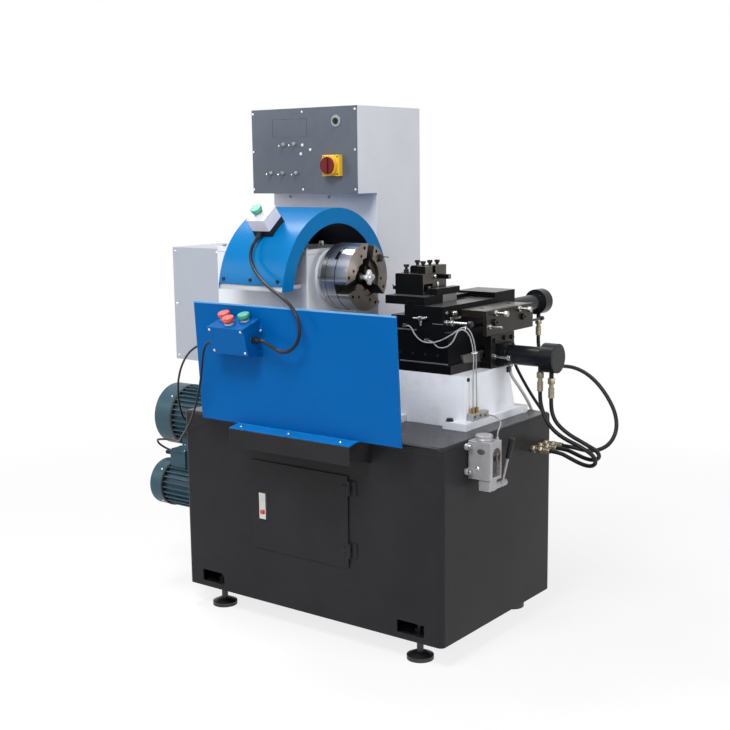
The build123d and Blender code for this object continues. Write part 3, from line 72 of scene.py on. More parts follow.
def spread(tree, value, low, high, to_low=0.0, to_high=1.0):
    """Maps a value from one span to another, held at the ends."""
    return output(tree, "ShaderNodeMapRange", {0: value, 1: low, 2: high, 3: to_low, 4: to_high})


def blank(owner):
    """The emptied node tree of a world or a material."""
    owner.use_nodes = True
    owner.node_tree.nodes.clear()
    return owner.node_tree


def seen_directly(tree):
    """One for rays that show a surface as it is: the camera's own, mirrored or through glass."""
    ray = node(tree, "ShaderNodeLightPath").outputs
    mirrored = calc(tree, "MAXIMUM", ray["Is Camera Ray"], ray["Is Glossy Ray"])
    return calc(tree, "MAXIMUM", mirrored, ray["Is Transmission Ray"])


WHITE = (1.0, 1.0, 1.0, 1.0)
AIR_TINT = (0.97, 0.985, 1.0, 1.0)
AIR_LEVEL = (0.06, 0.17)
HORIZON = -0.1
scene.world = bpy.data.worlds.new("studio_air")
air = blank(scene.world)
direction = node(air, "ShaderNodeTexCoord").outputs["Generated"]
height = node(air, "ShaderNodeSeparateXYZ", {0: direction}).outputs["Z"]
level = spread(air, height, HORIZON, 1.0, *AIR_LEVEL)
lit_air = output(air, "ShaderNodeBackground", {"Color": AIR_TINT, "Strength": level})
seen_air = output(air, "ShaderNodeBackground", {"Color": WHITE, "Strength": 1.0})
mixed_air = output(air, "ShaderNodeMixShader", {0: seen_directly(air), 1: lit_air, 2: seen_air})
node(air, "ShaderNodeOutputWorld", {"Surface": mixed_air})

FLOOR_REACH = 30.0
FLOOR_GREY = (0.93, 0.93, 0.93, 1.0)
FLOOR_GLOW = 0.80
FLOOR_FADE = (1.3, 2.8)
floor_paint = bpy.data.materials.new("studio_floor_paint")
sheet = blank(floor_paint)
matt = output(sheet, "ShaderNodeBsdfDiffuse", {"Color": FLOOR_GREY})
glow = output(sheet, "ShaderNodeEmission", {"Color": WHITE, "Strength": 1.0})
spot = node(sheet, "ShaderNodeTexCoord").outputs["Object"]
away = node(sheet, "ShaderNodeVectorMath", {0: spot}, operation="LENGTH").outputs["Value"]
fade = spread(sheet, away, *FLOOR_FADE, FLOOR_GLOW, 1.0)
share = calc(sheet, "MULTIPLY", seen_directly(sheet), fade)
blend = output(sheet, "ShaderNodeMixShader", {0: share, 1: matt, 2: glow})
node(sheet, "ShaderNodeOutputMaterial", {"Surface": blend})
floor_corners = [(x * FLOOR_REACH, y * FLOOR_REACH, 0) for x, y in ((-1, -1), (1, -1), (1, 1), (-1, 1))]
floor_mesh = bpy.data.meshes.new("studio_floor")
floor_mesh.from_pydata(floor_corners, [], [(0, 1, 2, 3)])
floor_mesh.materials.append(floor_paint)
floor = bpy.data.objects.new("studio_floor", floor_mesh)
scene.collection.objects.link(floor)

LAMPS = {
    "overhead_softbox": ((-1.7, 0.1, 3.9), 1.0, 72.0),
    "front_softbox": ((0.7, -2.5, 3.6), 1.6, 104.0),
    "camera_softbox": ((2.4, -4.2, 2.2), 1.8, 42.0),
    "left_softbox": ((-3.4, -3.2, 2.6), 1.8, 40.0),
    "right_softbox": ((4.6, 0.4, 2.0), 1.8, 78.0),
}
LAMP_AIM = Vector((0.1, 0.0, 0.8))
for lamp_name, (lamp_place, lamp_size, lamp_power) in LAMPS.items():
    lamp = bpy.data.lights.new(lamp_name, "AREA")
    lamp.shape = "DISK"
    lamp.size = lamp_size
    lamp.energy = lamp_power
    hung = bpy.data.objects.new(lamp_name, lamp)
    hung.location = lamp_place
    hung.rotation_euler = (LAMP_AIM - Vector(lamp_place)).to_track_quat("-Z", "Y").to_euler()
    scene.collection.objects.link(hung)

CAMERA_PLACE = (2.4283, -3.0702, 1.4072)
CAMERA_AZIMUTH, CAMERA_ELEVATION, CAMERA_ROLL = (math.radians(turn) for turn in (37.1, 9.2, -0.70))
CAMERA_LENS, CAMERA_SENSOR = 59.33, 36.0
look_back = Vector((math.sin(CAMERA_AZIMUTH) * math.cos(CAMERA_ELEVATION),
                    -math.cos(CAMERA_AZIMUTH) * math.cos(CAMERA_ELEVATION), math.sin(CAMERA_ELEVATION)))
level_right = Vector((math.cos(CAMERA_AZIMUTH), math.sin(CAMERA_AZIMUTH), 0.0))
level_up = look_back.cross(level_right)
camera_right = level_right * math.cos(CAMERA_ROLL) + level_up * math.sin(CAMERA_ROLL)
camera_up = level_up * math.cos(CAMERA_ROLL) - level_right * math.sin(CAMERA_ROLL)
camera_turn = Matrix((camera_right, camera_up, look_back)).transposed().to_4x4()
camera = bpy.data.objects.new("camera", bpy.data.cameras.new("camera"))
camera.data.sensor_width = CAMERA_SENSOR
camera.data.lens = CAMERA_LENS
camera.matrix_world = Matrix.Translation(CAMERA_PLACE) @ camera_turn
scene.collection.objects.link(camera)
scene.camera = camera
scene.view_settings.view_transform = "Standard"


# Base: a welded sheet-steel cabinet with rounded corners, sprayed near-black, with a motor shelf,
# a hinged door, a folded front ledge and four screwed levelling feet.
MM = 0.001
CLOUD_SPAN, GRAIN_SPAN = (0.32, 0.68), (0.3, 0.7)
SMEAR_SCALE, SMEAR_SPAN = 11.0, (0.52, 0.78)
RUB_SCALE, RUB_SPAN, RUB_TURN = 55.0, (0.35, 0.6), (0.985, 0.86)
GRAIN_DEPTH = 0.001
MARK_STRETCH = 0.96


def tint(colour):
    """A screen colour from 0 to 255 as the linear values that shaders take."""
    linear = []
    for value in colour:
        share = value / 255
        linear.append(share / 12.92 if share <= 0.04045 else ((share + 0.055) / 1.055) ** 2.4)
    return (*linear, 1.0)


def noise(tree, place, scale, detail, **inputs):
    return output(tree, "ShaderNodeTexNoise", {"Vector": place, "Scale": scale, "Detail": detail, **inputs})


def mixed(tree, factor, one, two):
    return node(tree, "ShaderNodeMix", {0: factor, 6: one, 7: two}, data_type="RGBA").outputs[2]


def drifting(tree, cloudy, span, colour, drift):
    """A colour that goes a little darker and lighter with a cloudy value."""
    dark, light = ((*(min(1.0, part * factor) for part in tint(colour)[:3]), 1.0)
                   for factor in (1 - drift, 1 + drift))
    return mixed(tree, spread(tree, cloudy, *span), dark, light)


def finish(name, colour, rough, metal=0.0, drift=0.08, cloud=4.0, grain=(320, 320, 320), relief=0.04,
           worn=None, wear=0.6, edge=0.0012, grime=None, soil=0.5, rings=None, coat=0.0, shine=0.5):
    """A surface whose colour drifts, with fine grain in gloss and relief, rubbed edges and soiling.
    Rings are turning marks: their axis, which runs along X, and their closeness."""
    made = bpy.data.materials.new(name)
    tree = blank(made)
    place = node(tree, "ShaderNodeTexCoord").outputs["Object"]
    cloudy = noise(tree, place, cloud, 5.0)
    stretched = output(tree, "ShaderNodeMapping", {"Vector": place, "Scale": grain})
    fine = noise(tree, stretched, 1.0, 3.0)
    if rings:
        axis, closeness = rings
        moved = output(tree, "ShaderNodeMapping", {"Vector": place, "Location": [-value for value in axis]})
        waves = {"Vector": moved, "Scale": closeness, "Distortion": 1.5, "Detail": 2.0}
        marks = node(tree, "ShaderNodeTexWave", waves, wave_type="RINGS", rings_direction="X").outputs["Fac"]
        fine = output(tree, "ShaderNodeMix", {0: 0.5, 2: fine, 3: marks})
        outward = output(tree, "ShaderNodeVectorMath", {0: moved, 1: (0.0, 1.0, 1.0)}, operation="MULTIPLY")
        outward = output(tree, "ShaderNodeVectorMath", {0: outward}, operation="NORMALIZE")
        across_marks = output(tree, "ShaderNodeVectorMath", {0: outward, 1: (1.0, 0.0, 0.0)}, operation="ADD")
    rounded = output(tree, "ShaderNodeBevel", {"Radius": edge}, samples=4)
    flat = node(tree, "ShaderNodeNewGeometry").outputs["Normal"]
    turn = node(tree, "ShaderNodeVectorMath", {0: rounded, 1: flat}, operation="DOT_PRODUCT").outputs["Value"]
    shade = drifting(tree, cloudy, CLOUD_SPAN, colour, drift)
    if grime:
        smear = spread(tree, noise(tree, place, SMEAR_SCALE, 8.0, Roughness=0.7), *SMEAR_SPAN)
        shade = mixed(tree, calc(tree, "MULTIPLY", smear, soil), shade, tint(grime))
    if worn:
        patchy = spread(tree, noise(tree, place, RUB_SCALE, 4.0), *RUB_SPAN)
        rubbed = calc(tree, "MULTIPLY", spread(tree, turn, *RUB_TURN), patchy)
        shade = mixed(tree, calc(tree, "MULTIPLY", rubbed, wear), shade, tint(worn))
    bump = output(tree, "ShaderNodeBump", {
        "Height": fine, "Strength": relief, "Distance": GRAIN_DEPTH, "Normal": rounded})
    shader = node(tree, "ShaderNodeBsdfPrincipled", {
        "Base Color": shade, "Roughness": spread(tree, fine, *GRAIN_SPAN, *rough), "Normal": bump,
        "Metallic": metal, "Coat Weight": coat, "Specular IOR Level": shine})
    if rings:
        shader.inputs["Anisotropic"].default_value = MARK_STRETCH
        tree.links.new(across_marks, shader.inputs["Tangent"])
    node(tree, "ShaderNodeOutputMaterial", {"Surface": shader.outputs[0]})
    return made


def dress(material, *names):
    """Gives CAD nodes one finish."""
    for name in names:
        nodes[name].data.materials.clear()
        nodes[name].data.materials.append(material)


def dress_where(name, material, inside):
    """Gives another finish to faces of a CAD node, picked by their middle in millimetres and direction."""
    mesh = nodes[name].data
    mesh.materials.append(material)
    index = len(mesh.materials) - 1
    for face in mesh.polygons:
        if inside(face.center / MM, face.normal):
            face.material_index = index


black_paint = finish("black_paint", (36, 36, 38), (0.3, 0.44), drift=0.14, worn=(84, 84, 88), wear=0.3,
                     edge=0.003, grime=(58, 56, 55), soil=0.16, shine=0.12)
# The base's up-facing faces get a glossier copy of the black paint. Its slightly lighter, bluer colour is a
# painted sheen.
top_sheen_paint = finish("top_sheen_paint", (42, 43, 47), (0.2, 0.32), drift=0.1, worn=(100, 102, 106), wear=0.4,
                   edge=0.003, grime=(62, 62, 64), soil=0.2, shine=0.3)
nickel = finish("nickel_plate", (205, 205, 202), (0.16, 0.34), metal=1.0, drift=0.1, cloud=30.0,
                relief=0.03)
lock_red = finish("lock_red", (190, 60, 52), (0.3, 0.42), drift=0.05, relief=0.02)
foot_steel = finish("foot_steel", (66, 66, 68), (0.3, 0.5), metal=0.85, drift=0.15, cloud=25.0,
                    grime=(46, 40, 36))
dress(black_paint, "base_cabinet", "cabinet_door", "front_ledge")
# Painted sheen: the up-facing faces of the base get the lighter, bluer black.
dress_where("base_cabinet", top_sheen_paint, lambda at, out: out.z > 0.9 and at.z > 640)
dress_where("cabinet_door", nickel, lambda at, out: -22.5 < at.x < 4.5 and at.y < -378.2 and 341 < at.z < 425)
dress(lock_red, "door_lock_button")
dress(foot_steel, "levelling_feet")


# Motors: cast frames with cooling fins, pressed fan covers with rings of vent slots, sprayed teal grey,
# terminal boxes with lids held by four screws, and cable glands. Both turn steel rotors.
LEFT, RIGHT, FRONT, BACK, UP, DOWN = (-1, 0, 0), (1, 0, 0), (0, -1, 0), (0, 1, 0), (0, 0, 1), (0, 0, -1)
ORIGIN = (0, 0, 0)
CREASE = math.radians(32.0)


def turned(centre, axis, rings, sides=24, lobes=None):
    """Points and faces of a turned shape. A ring is its distance along the axis, its radius to the
    corners and, where it isn't round, its number of flats. Lobes are their number and their depth."""
    turn = Vector(axis).normalized().to_track_quat("Z", "Y").to_matrix()
    points = []
    for along, radius, *flats in rings:
        for step in range(sides):
            angle = math.tau * step / sides
            reach = radius
            if flats:
                half = math.pi / flats[0]
                reach = radius * math.cos(half) / math.cos(angle % (2 * half) - half)
            if lobes:
                reach *= 1 + lobes[1] * math.cos(lobes[0] * angle)
            spot = Vector((reach * math.cos(angle), reach * math.sin(angle), along))
            points.append((Vector(centre) + turn @ spot) * MM)
    return points, tube_faces(len(rings), sides)


def tube_faces(rings, sides):
    """Faces between rings of points, with both ends closed."""
    faces = []
    for ring in range(rings - 1):
        low, high = ring * sides, (ring + 1) * sides
        for step in range(sides):
            after = (step + 1) % sides
            faces.append((low + step, low + after, high + after, high + step))
    faces.append(tuple(reversed(range(sides))))
    faces.append(tuple(range((rings - 1) * sides, rings * sides)))
    return faces


def slab(low, high, soft=0.8):
    """Points and faces of a block with softened edges."""
    low, high = Vector(low), Vector(high)
    work = bmesh.new()
    bmesh.ops.create_cube(work, size=1.0)
    for corner in work.verts:
        corner.co = Vector(a * b for a, b in zip(corner.co, high - low))
    bmesh.ops.bevel(work, geom=work.edges[:], offset=soft, segments=2, profile=0.5, affect="EDGES")
    work.verts.index_update()
    points = [(corner.co + (low + high) / 2) * MM for corner in work.verts]
    faces = [tuple(corner.index for corner in face.verts) for face in work.faces]
    work.free()
    return points, faces


def shape_mesh(name, shapes):
    """One mesh of several closed shapes, shaded smooth up to the crease angle."""
    points, faces = [], []
    for shape_points, shape_faces in shapes:
        first = len(points)
        points += shape_points
        faces += [[first + index for index in face] for face in shape_faces]
    mesh = bpy.data.meshes.new(name)
    mesh.from_pydata(points, [], faces)
    work = bmesh.new()
    work.from_mesh(mesh)
    bmesh.ops.recalc_face_normals(work, faces=work.faces)
    work.to_mesh(mesh)
    work.free()
    mesh.shade_smooth()
    mesh.set_sharp_from_angle(angle=CREASE)
    return mesh


def place(name, mesh, slot, body):
    """Puts a finished mesh in the scene, riding a body."""
    made = bpy.data.objects.new(name, mesh)
    scene.collection.objects.link(made)
    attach(made, body)


def forge(name, shapes, material, slot, body="frame"):
    """A piece of its own from closed shapes."""
    mesh = shape_mesh(name, shapes)
    mesh.materials.append(material)
    place(name, mesh, slot, body)


def repeat_tree():
    """Sets one shape on every point, turned to the point's facing and spun about it."""
    tree = bpy.data.node_groups.new("set_on_places", "GeometryNodeTree")
    for label, kind in (("Geometry", "Geometry"), ("Shape", "Object"), ("Size", "Float"),
                        ("Loose turn", "Float"), ("Seed", "Int"), ("Finish", "Material")):
        tree.interface.new_socket(label, in_out="INPUT", socket_type=f"NodeSocket{kind}")
    tree.interface.new_socket("Geometry", in_out="OUTPUT", socket_type="NodeSocketGeometry")
    given = node(tree, "NodeGroupInput").outputs
    shape = node(tree, "GeometryNodeObjectInfo", {"Object": given["Shape"]}).outputs["Geometry"]
    facing = output(tree, "GeometryNodeInputNamedAttribute", {"Name": "facing"}, data_type="FLOAT_VECTOR")
    spin = output(tree, "GeometryNodeInputNamedAttribute", {"Name": "spin"}, data_type="FLOAT")
    loose = node(tree, "FunctionNodeRandomValue", {3: given["Loose turn"], 8: given["Seed"]},
                 data_type="FLOAT").outputs[1]
    aimed = output(tree, "FunctionNodeAlignRotationToVector", {"Vector": facing}, axis="Z")
    about = output(tree, "FunctionNodeAxisAngleToRotation", {"Angle": calc(tree, "ADD", spin, loose)})
    turned_to = output(tree, "FunctionNodeRotateRotation", {0: aimed, 1: about}, rotation_space="LOCAL")
    set_on = output(tree, "GeometryNodeInstanceOnPoints", {
        "Points": given["Geometry"], "Instance": shape, "Rotation": turned_to, "Scale": given["Size"]})
    solid = output(tree, "GeometryNodeRealizeInstances", {0: set_on})
    coated = output(tree, "GeometryNodeSetMaterial", {"Geometry": solid, "Material": given["Finish"]})
    node(tree, "NodeGroupOutput", {0: coated})
    return tree


set_on_places = repeat_tree()


def repeat(name, shapes, places, material, slot, body="frame", size=1.0, loose=0.0, seed=1):
    """Repeats a shape, made about +Z at the origin, at places: point in millimetres, facing, spin."""
    pattern = bpy.data.objects.new(name + "_pattern", shape_mesh(name + "_pattern", shapes))
    scene.collection.objects.link(pattern)
    spots = bpy.data.meshes.new(name + "_places")
    spots.from_pydata([Vector(spot[0]) * MM for spot in places], [], [])
    spots.attributes.new("facing", "FLOAT_VECTOR", "POINT")
    spots.attributes.new("spin", "FLOAT", "POINT")
    for index, spot in enumerate(places):
        spots.attributes["facing"].data[index].vector = spot[1]
        spots.attributes["spin"].data[index].value = spot[2] if len(spot) > 2 else 0.0
    holder = bpy.data.objects.new(name + "_places", spots)
    scene.collection.objects.link(holder)
    modifier = holder.modifiers.new("set", "NODES")
    modifier.node_group = set_on_places
    values = {"Shape": pattern, "Size": size, "Loose turn": loose, "Seed": seed, "Finish": material}
    for socket in set_on_places.interface.items_tree:
        if socket.in_out == "INPUT" and socket.name in values:
            modifier[socket.identifier] = values[socket.name]
    graph = bpy.context.evaluated_depsgraph_get()
    mesh = bpy.data.meshes.new_from_object(holder.evaluated_get(graph), depsgraph=graph)
    mesh.name = name
    holder.modifiers.remove(modifier)
    for spare in (holder, pattern):
        bpy.data.objects.remove(spare)
    place(name, mesh, slot, body)


def socket_screw(radius, height, key):
    """A cap screw head with a hexagon socket."""
    return [turned(ORIGIN, UP, [(0, radius), (height - radius * 0.12, radius), (height, radius * 0.88),
                                (height, key, 6), (height * 0.35, key, 6)])]


def hex_bolt(radius, height):
    """A hexagon bolt head on a round washer."""
    return [turned(ORIGIN, UP, [(0, radius * 1.25), (height * 0.2, radius * 1.25), (height * 0.2, radius, 6),
                                (height * 0.88, radius, 6), (height, radius * 0.8), (height, radius * 0.3)])]


def pan_screw(radius, height):
    """A domed screw head with a cross recess."""
    return [turned(ORIGIN, UP, [(0, radius), (height * 0.45, radius), (height * 0.85, radius * 0.75),
                                (height, radius * 0.3), (height * 0.5, radius * 0.24, 4),
                                (height * 0.5, radius * 0.05, 4)])]


def gland(centre, axis, radius, cord_r):
    """A cable gland: hexagon body, domed nut with ribs, and a tapered sleeve that grips the cable."""
    return [turned(centre, axis, [
        (0, radius * 1.25, 6), (radius * 0.55, radius * 1.25, 6), (radius * 0.6, radius),
        (radius * 1.1, radius), (radius * 1.1, radius * 1.12, 6), (radius * 1.7, radius * 1.08, 6),
        (radius * 2.0, radius * 0.8), (radius * 2.9, cord_r + 0.9), (radius * 2.9, cord_r * 0.9)])]


def on_ring(x, shaft, radius, degrees):
    """A point on a circle round a shaft along X, by its angle from the back towards the top."""
    turn = math.radians(degrees)
    return (x, shaft[0] + radius * math.cos(turn), shaft[1] + radius * math.sin(turn))


def vent_places(face_x, shaft, ring_radii):
    """Places of the vent slots in a fan cover, on rings round the shaft."""
    spots = []
    for number, radius in enumerate(ring_radii):
        count = int(radius * math.tau / VENT_PITCH)
        for step in range(count):
            angle = math.tau * (step + 0.5 * (number % 2)) / count
            spots.append((on_ring(face_x, shaft, radius, math.degrees(angle)), LEFT, -angle))
    return spots


MAIN_SHAFT, PUMP_SHAFT = (-20, 535), (-182, 330)
MAIN_FAN_X, PUMP_FAN_X = -750, -645
VENT_PITCH = 26
VENT_SLOT = [slab((-3.5, -8.5, -0.6), (3.5, 8.5, 0.5), soft=0.45)]
COVER_ANGLES = (45, 135, 225, 315)
ANY_TURN, KEY_TURN = 6.28, 1.0
teal_paint = finish("teal_paint", (52, 80, 92), (0.3, 0.46), worn=(104, 126, 134), wear=0.4, edge=0.0015,
                    grime=(32, 44, 48), soil=0.35, shine=0.2)
black_plastic = finish("black_plastic", (26, 26, 28), (0.36, 0.52), drift=0.1, cloud=20.0, relief=0.05,
                       shine=0.25)
dark_screw = finish("dark_screw", (24, 24, 25), (0.28, 0.42), metal=0.4, drift=0.15, cloud=60.0)
rotor_steel = finish("rotor_steel", (130, 130, 132), (0.3, 0.45), metal=0.9, drift=0.1, cloud=20.0)
vent_black = finish("vent_black", (14, 15, 16), (0.6, 0.75), drift=0.1)
PLATED, BLACKED = (nickel, "nickel"), (dark_screw, "blackened_steel")
dress(teal_paint, "main_motor", "pump_motor")
dress(rotor_steel, "main_motor_rotor", "pump_rotor")
dress_where("main_motor", black_plastic, lambda at, out: at.x < -500.2 and at.y < -150 and 532 < at.z < 550)
dress_where("pump_motor", black_plastic, lambda at, out: at.x < -582.2 and 431 < at.z < 449 and at.y > -190)
repeat("main_motor_vents", VENT_SLOT, vent_places(MAIN_FAN_X, MAIN_SHAFT, [34, 52, 70, 88]), vent_black,
       "teal_paint")
repeat("pump_motor_vents", VENT_SLOT, vent_places(PUMP_FAN_X, PUMP_SHAFT, [26, 42, 58]), vent_black,
       "teal_paint", size=0.85)
forge("motor_hubs", [
    turned((MAIN_FAN_X, *MAIN_SHAFT), LEFT, [(-0.5, 20), (1.5, 20), (2.5, 18)], sides=32),
    turned((PUMP_FAN_X, *PUMP_SHAFT), LEFT, [(-0.5, 14), (1.2, 14), (2, 12.5)], sides=32),
    slab((-503, -194, 497), (-427, -189, 588), soft=1.5),
], teal_paint, "teal_paint")
forge("motor_seams", [
    turned((-668, *MAIN_SHAFT), LEFT, [(-3, 111.2), (5, 111.8)], sides=64),
    turned((-588, *PUMP_SHAFT), LEFT, [(-2, 80.8), (4, 81.4)], sides=56),
], vent_black, "black_plastic")
motor_screws = []
for x, shaft, radius in ((-690, MAIN_SHAFT, 111), (-606, PUMP_SHAFT, 80)):
    motor_screws += [(on_ring(x, shaft, radius, turn), on_ring(0, (0, 0), 1, turn)) for turn in COVER_ANGLES]
motor_screws += [((x, -194, z), FRONT) for x in (-497, -433) for z in (503, 582)]
motor_screws += [((x, y, 458), UP) for x in (-579, -514) for y in (-217, -149)]
repeat("motor_screws", pan_screw(4.0, 2.6), motor_screws, *PLATED, loose=ANY_TURN)
foot_bolts = [((x, y, 437), UP) for x in (-624, -496) for y in (-126, 86)]
repeat("motor_foot_bolts", hex_bolt(9.0, 8.0), foot_bolts, *BLACKED, loose=KEY_TURN)
forge("motor_glands", gland((-500, -160, 541), LEFT, 7.6, 3.5) + gland((-582, -180, 440), LEFT, 7.6, 3.5),
      black_plastic, "black_plastic")


# Belt drive: a sheet-steel guard box with its chute, sprayed light grey, over three rubber belts
# and the pulleys. Pan screws hold the guard's front, back and left sheets.
guard_grey = finish("guard_grey", (170, 175, 185), (0.34, 0.46), drift=0.03, worn=(222, 224, 228), wear=0.4,
                    edge=0.002, grime=(160, 160, 164), soil=0.16, shine=0.3)
belt_rubber = finish("belt_rubber", (32, 32, 33), (0.6, 0.8), drift=0.15, cloud=40.0, relief=0.1)
drive_steel = finish("drive_steel", (140, 140, 142), (0.28, 0.42), metal=0.9, drift=0.12, cloud=20.0)
dress(guard_grey, "belt_guard")
dress(belt_rubber, "drive_belts")
dress(drive_steel, "spindle_drive")
guard_screws = [((x, y, z), out) for y, out in ((-210, FRONT), (40, BACK)) for x in (-531, -338)
                for z in (792, 969, 1146)]
guard_screws += [((-543, y, z), LEFT) for y in (-196, -85, 26) for z in (792, 1146)]
repeat("belt_guard_screws", pan_screw(4.5, 2.8), guard_screws, *PLATED, loose=ANY_TURN, seed=4)


# Hydraulic unit inside the base: sheet tank, pump and valve block. Only its plated hose fittings
# come out, three through the right wall and one through the back.
def crimped(centre, axis, length, radius, hose_r):
    """A hose end: crimped sleeve with pressed grooves, over the end of the hose."""
    rings = [(0, radius * 0.82), (0, radius)]
    grooves = 5
    for groove in range(grooves):
        start = length * (groove + 0.6) / (grooves + 0.4)
        width = length / (grooves + 0.4) * 0.4
        rings += [(start, radius), (start + width * 0.3, radius * 0.88), (start + width, radius * 0.88),
                  (start + width * 1.3, radius)]
    rings += [(length, radius), (length + 1.0, radius * 0.92), (length + 1.0, hose_r * 0.9)]
    return turned(centre, axis, rings, sides=28)


def union_nut(centre, axis, length, corner):
    """A chamfered hexagon nut."""
    return turned(centre, axis, [
        (0, corner * 0.86), (length * 0.12, corner, 6), (length * 0.88, corner, 6), (length, corner * 0.86)])


BULKHEADS = [(132, 552), (176, 553), (212, 554)]
fitting_metal = finish("fitting_plate", (150, 141, 122), (0.3, 0.5), metal=0.9, drift=0.16, cloud=45.0,
                       grime=(90, 76, 50), soil=0.4)
tank_paint = finish("tank_paint", (120, 124, 128), (0.4, 0.55))
dress(tank_paint, "hydraulic_unit")
dress_where("hydraulic_unit", fitting_metal, lambda at, out: at.x > 630 or at.y > 230)
hose_ends = []
for y, z in BULKHEADS:
    hose_ends += [union_nut((650, y, z), RIGHT, 12.4, 12.4), union_nut((671.6, y, z), RIGHT, 14.6, 10.9),
                  crimped((686, y, z), RIGHT, 25.5, 9.2, 6.25)]
hose_ends += [union_nut((600, 254, 567), BACK, 12.4, 12.4), crimped((600, 266, 567), BACK, 17.5, 8.9, 5.0)]
forge("bulkhead_fittings", hose_ends, fitting_metal, "nickel")


# Headstock: a cast body with a bolted cover, filled and sprayed cream white, a plated oil plug,
# and the spindle in its bearings.
SPINDLE = (-100, 1080)
COVER_TOP = 1168
JOINT_Z = (1151.5, 1152.5)
cream_paint = finish("cream_paint", (226, 229, 235), (0.3, 0.42), drift=0.03, relief=0.06,
                     worn=(205, 200, 190), wear=0.3, edge=0.003, grime=(178, 176, 174), soil=0.2, shine=0.3)
bearing_steel = finish("bearing_steel", (120, 118, 114), (0.3, 0.45), metal=0.9, drift=0.12, cloud=22.0)
joint_grey = finish("joint_grey", (140, 142, 146), (0.4, 0.55), drift=0.1, cloud=20.0)
dress(cream_paint, "headstock", "headstock_cover")
dress_where("headstock_cover", nickel, lambda at, out: at.z > COVER_TOP + 0.1)
dress(bearing_steel, "spindle_bearings", "draw_tube")
dress_where("spindle_bearings", cream_paint, lambda at, out: at.x > 55)
cover_screws = [((x, y, COVER_TOP), UP) for x in (-308, -135, 38) for y in (-204, 4)]
repeat("headstock_cover_screws", socket_screw(6.5, 6.0, 3.4), cover_screws, bearing_steel, "nickel",
       loose=KEY_TURN)
cap_screws = [(on_ring(65, SPINDLE, 76, 60 - 60 * step), RIGHT) for step in range(6)]
repeat("bearing_cap_screws", socket_screw(5.0, 1.6, 2.6), cap_screws, *BLACKED, loose=KEY_TURN)
foot_bolts = [((x, y, 672), UP) for x in (-290, -135, 20) for y in (-233, 33)]
repeat("headstock_bolts", hex_bolt(8.0, 8.0), foot_bolts, *BLACKED, loose=KEY_TURN, seed=3)
forge("oil_plug_ribs", [
    turned((-35, -38, COVER_TOP), UP, [
        (0, 10.5), (2, 10.5), (2.5, 9.4), (7.5, 9.4), (8, 8.4, 6), (15.4, 8.4, 6), (16.4, 7.0)]),
], bearing_steel, "nickel")
forge("cover_joint", [
    slab((-322, -222.4, JOINT_Z[0]), (51, -221.4, JOINT_Z[1]), soft=0.2),
    slab((54.4, -218, JOINT_Z[0]), (55.4, 18, JOINT_Z[1]), soft=0.2),
    slab((-322, 21.4, JOINT_Z[0]), (51, 22.4, JOINT_Z[1]), soft=0.2),
], joint_grey, "grey_paint")


# Chuck: a turned and polished power chuck with three bolted soft jaws, their grip turned in steps,
# and a small work stop in the middle.
def off_spindle(at):
    """Distance of a point from the spindle's axis."""
    return math.hypot(at.y - SPINDLE[0], at.z - SPINDLE[1])


SPINDLE_AXIS = (0.0, SPINDLE[0] * MM, SPINDLE[1] * MM)
CHUCK_RIM = 103
SEAM_R = (104.4, 104.75)
JAW_ANGLES = (73, 193, 313)
JAW_BOLTS = ((-40, 91.5, 180.6), (40, 91.5, 180.6), (-24, 72.0, 194.0), (24, 72.0, 194.0))
chuck_steel = finish("chuck_steel", (176, 178, 184), (0.22, 0.34), metal=1.0, drift=0.1, cloud=9.0,
                     relief=0.03, rings=(SPINDLE_AXIS, 90.0), grime=(90, 88, 88), soil=0.3)
jaw_steel = finish("jaw_steel", (142, 133, 126), (0.3, 0.46), metal=0.85, drift=0.14, cloud=16.0,
                   relief=0.05, rings=(SPINDLE_AXIS, 70.0), grime=(84, 76, 70), soil=0.4)
# A dark steel for the chuck's face and the jaws' sides: painted shade in the gaps between the jaws.
jaw_dark = finish("jaw_dark", (58, 54, 52), (0.34, 0.5), metal=0.6, drift=0.2, cloud=20.0)
bright_steel = finish("bright_steel", (232, 232, 230), (0.1, 0.22), metal=1.0, drift=0.06, cloud=40.0)
stop_white = finish("stop_white", (216, 218, 220), (0.22, 0.36), metal=0.3, drift=0.06, cloud=40.0)
dress(chuck_steel, "chuck_body", "spindle")
# Painted shade: the chuck's front face inside the rim and the jaws' sides are darkened where shade falls
# between the jaws.
dress_where("chuck_body", jaw_dark, lambda at, out: at.x > 130 and off_spindle(at) < CHUCK_RIM)
for jaw_name in ("chuck_jaw_1", "chuck_jaw_2", "chuck_jaw_3"):
    dress(jaw_steel, jaw_name)
    dress_where(jaw_name, jaw_dark, lambda at, out: abs(out.x) < 0.5)
    dress_where(jaw_name, chuck_steel, lambda at, out: off_spindle(at) > CHUCK_RIM and abs(out.x) < 0.5)
seams = []
for near, far in ((110.5, 112.5), (146.6, 149.0)):
    hoop = [(near, SEAM_R[0]), (near, SEAM_R[1]), (far, SEAM_R[1]), (far, SEAM_R[0])]
    seams.append(turned((0, *SPINDLE), RIGHT, hoop, sides=96))
forge("chuck_seams", seams, dark_screw, "ground_steel", "spindle")
forge("work_stop", [
    turned((170, *SPINDLE), RIGHT, [(0, 7), (30, 7)]),
    turned((197, *SPINDLE), RIGHT, [(0, 16), (2, 20), (9, 20), (11, 16)], sides=48, lobes=(4, 0.2)),
    turned((207, *SPINDLE), RIGHT, [(0, 7, 6), (4, 7, 6), (4.6, 6)]),
], stop_white, "ground_steel", "spindle")
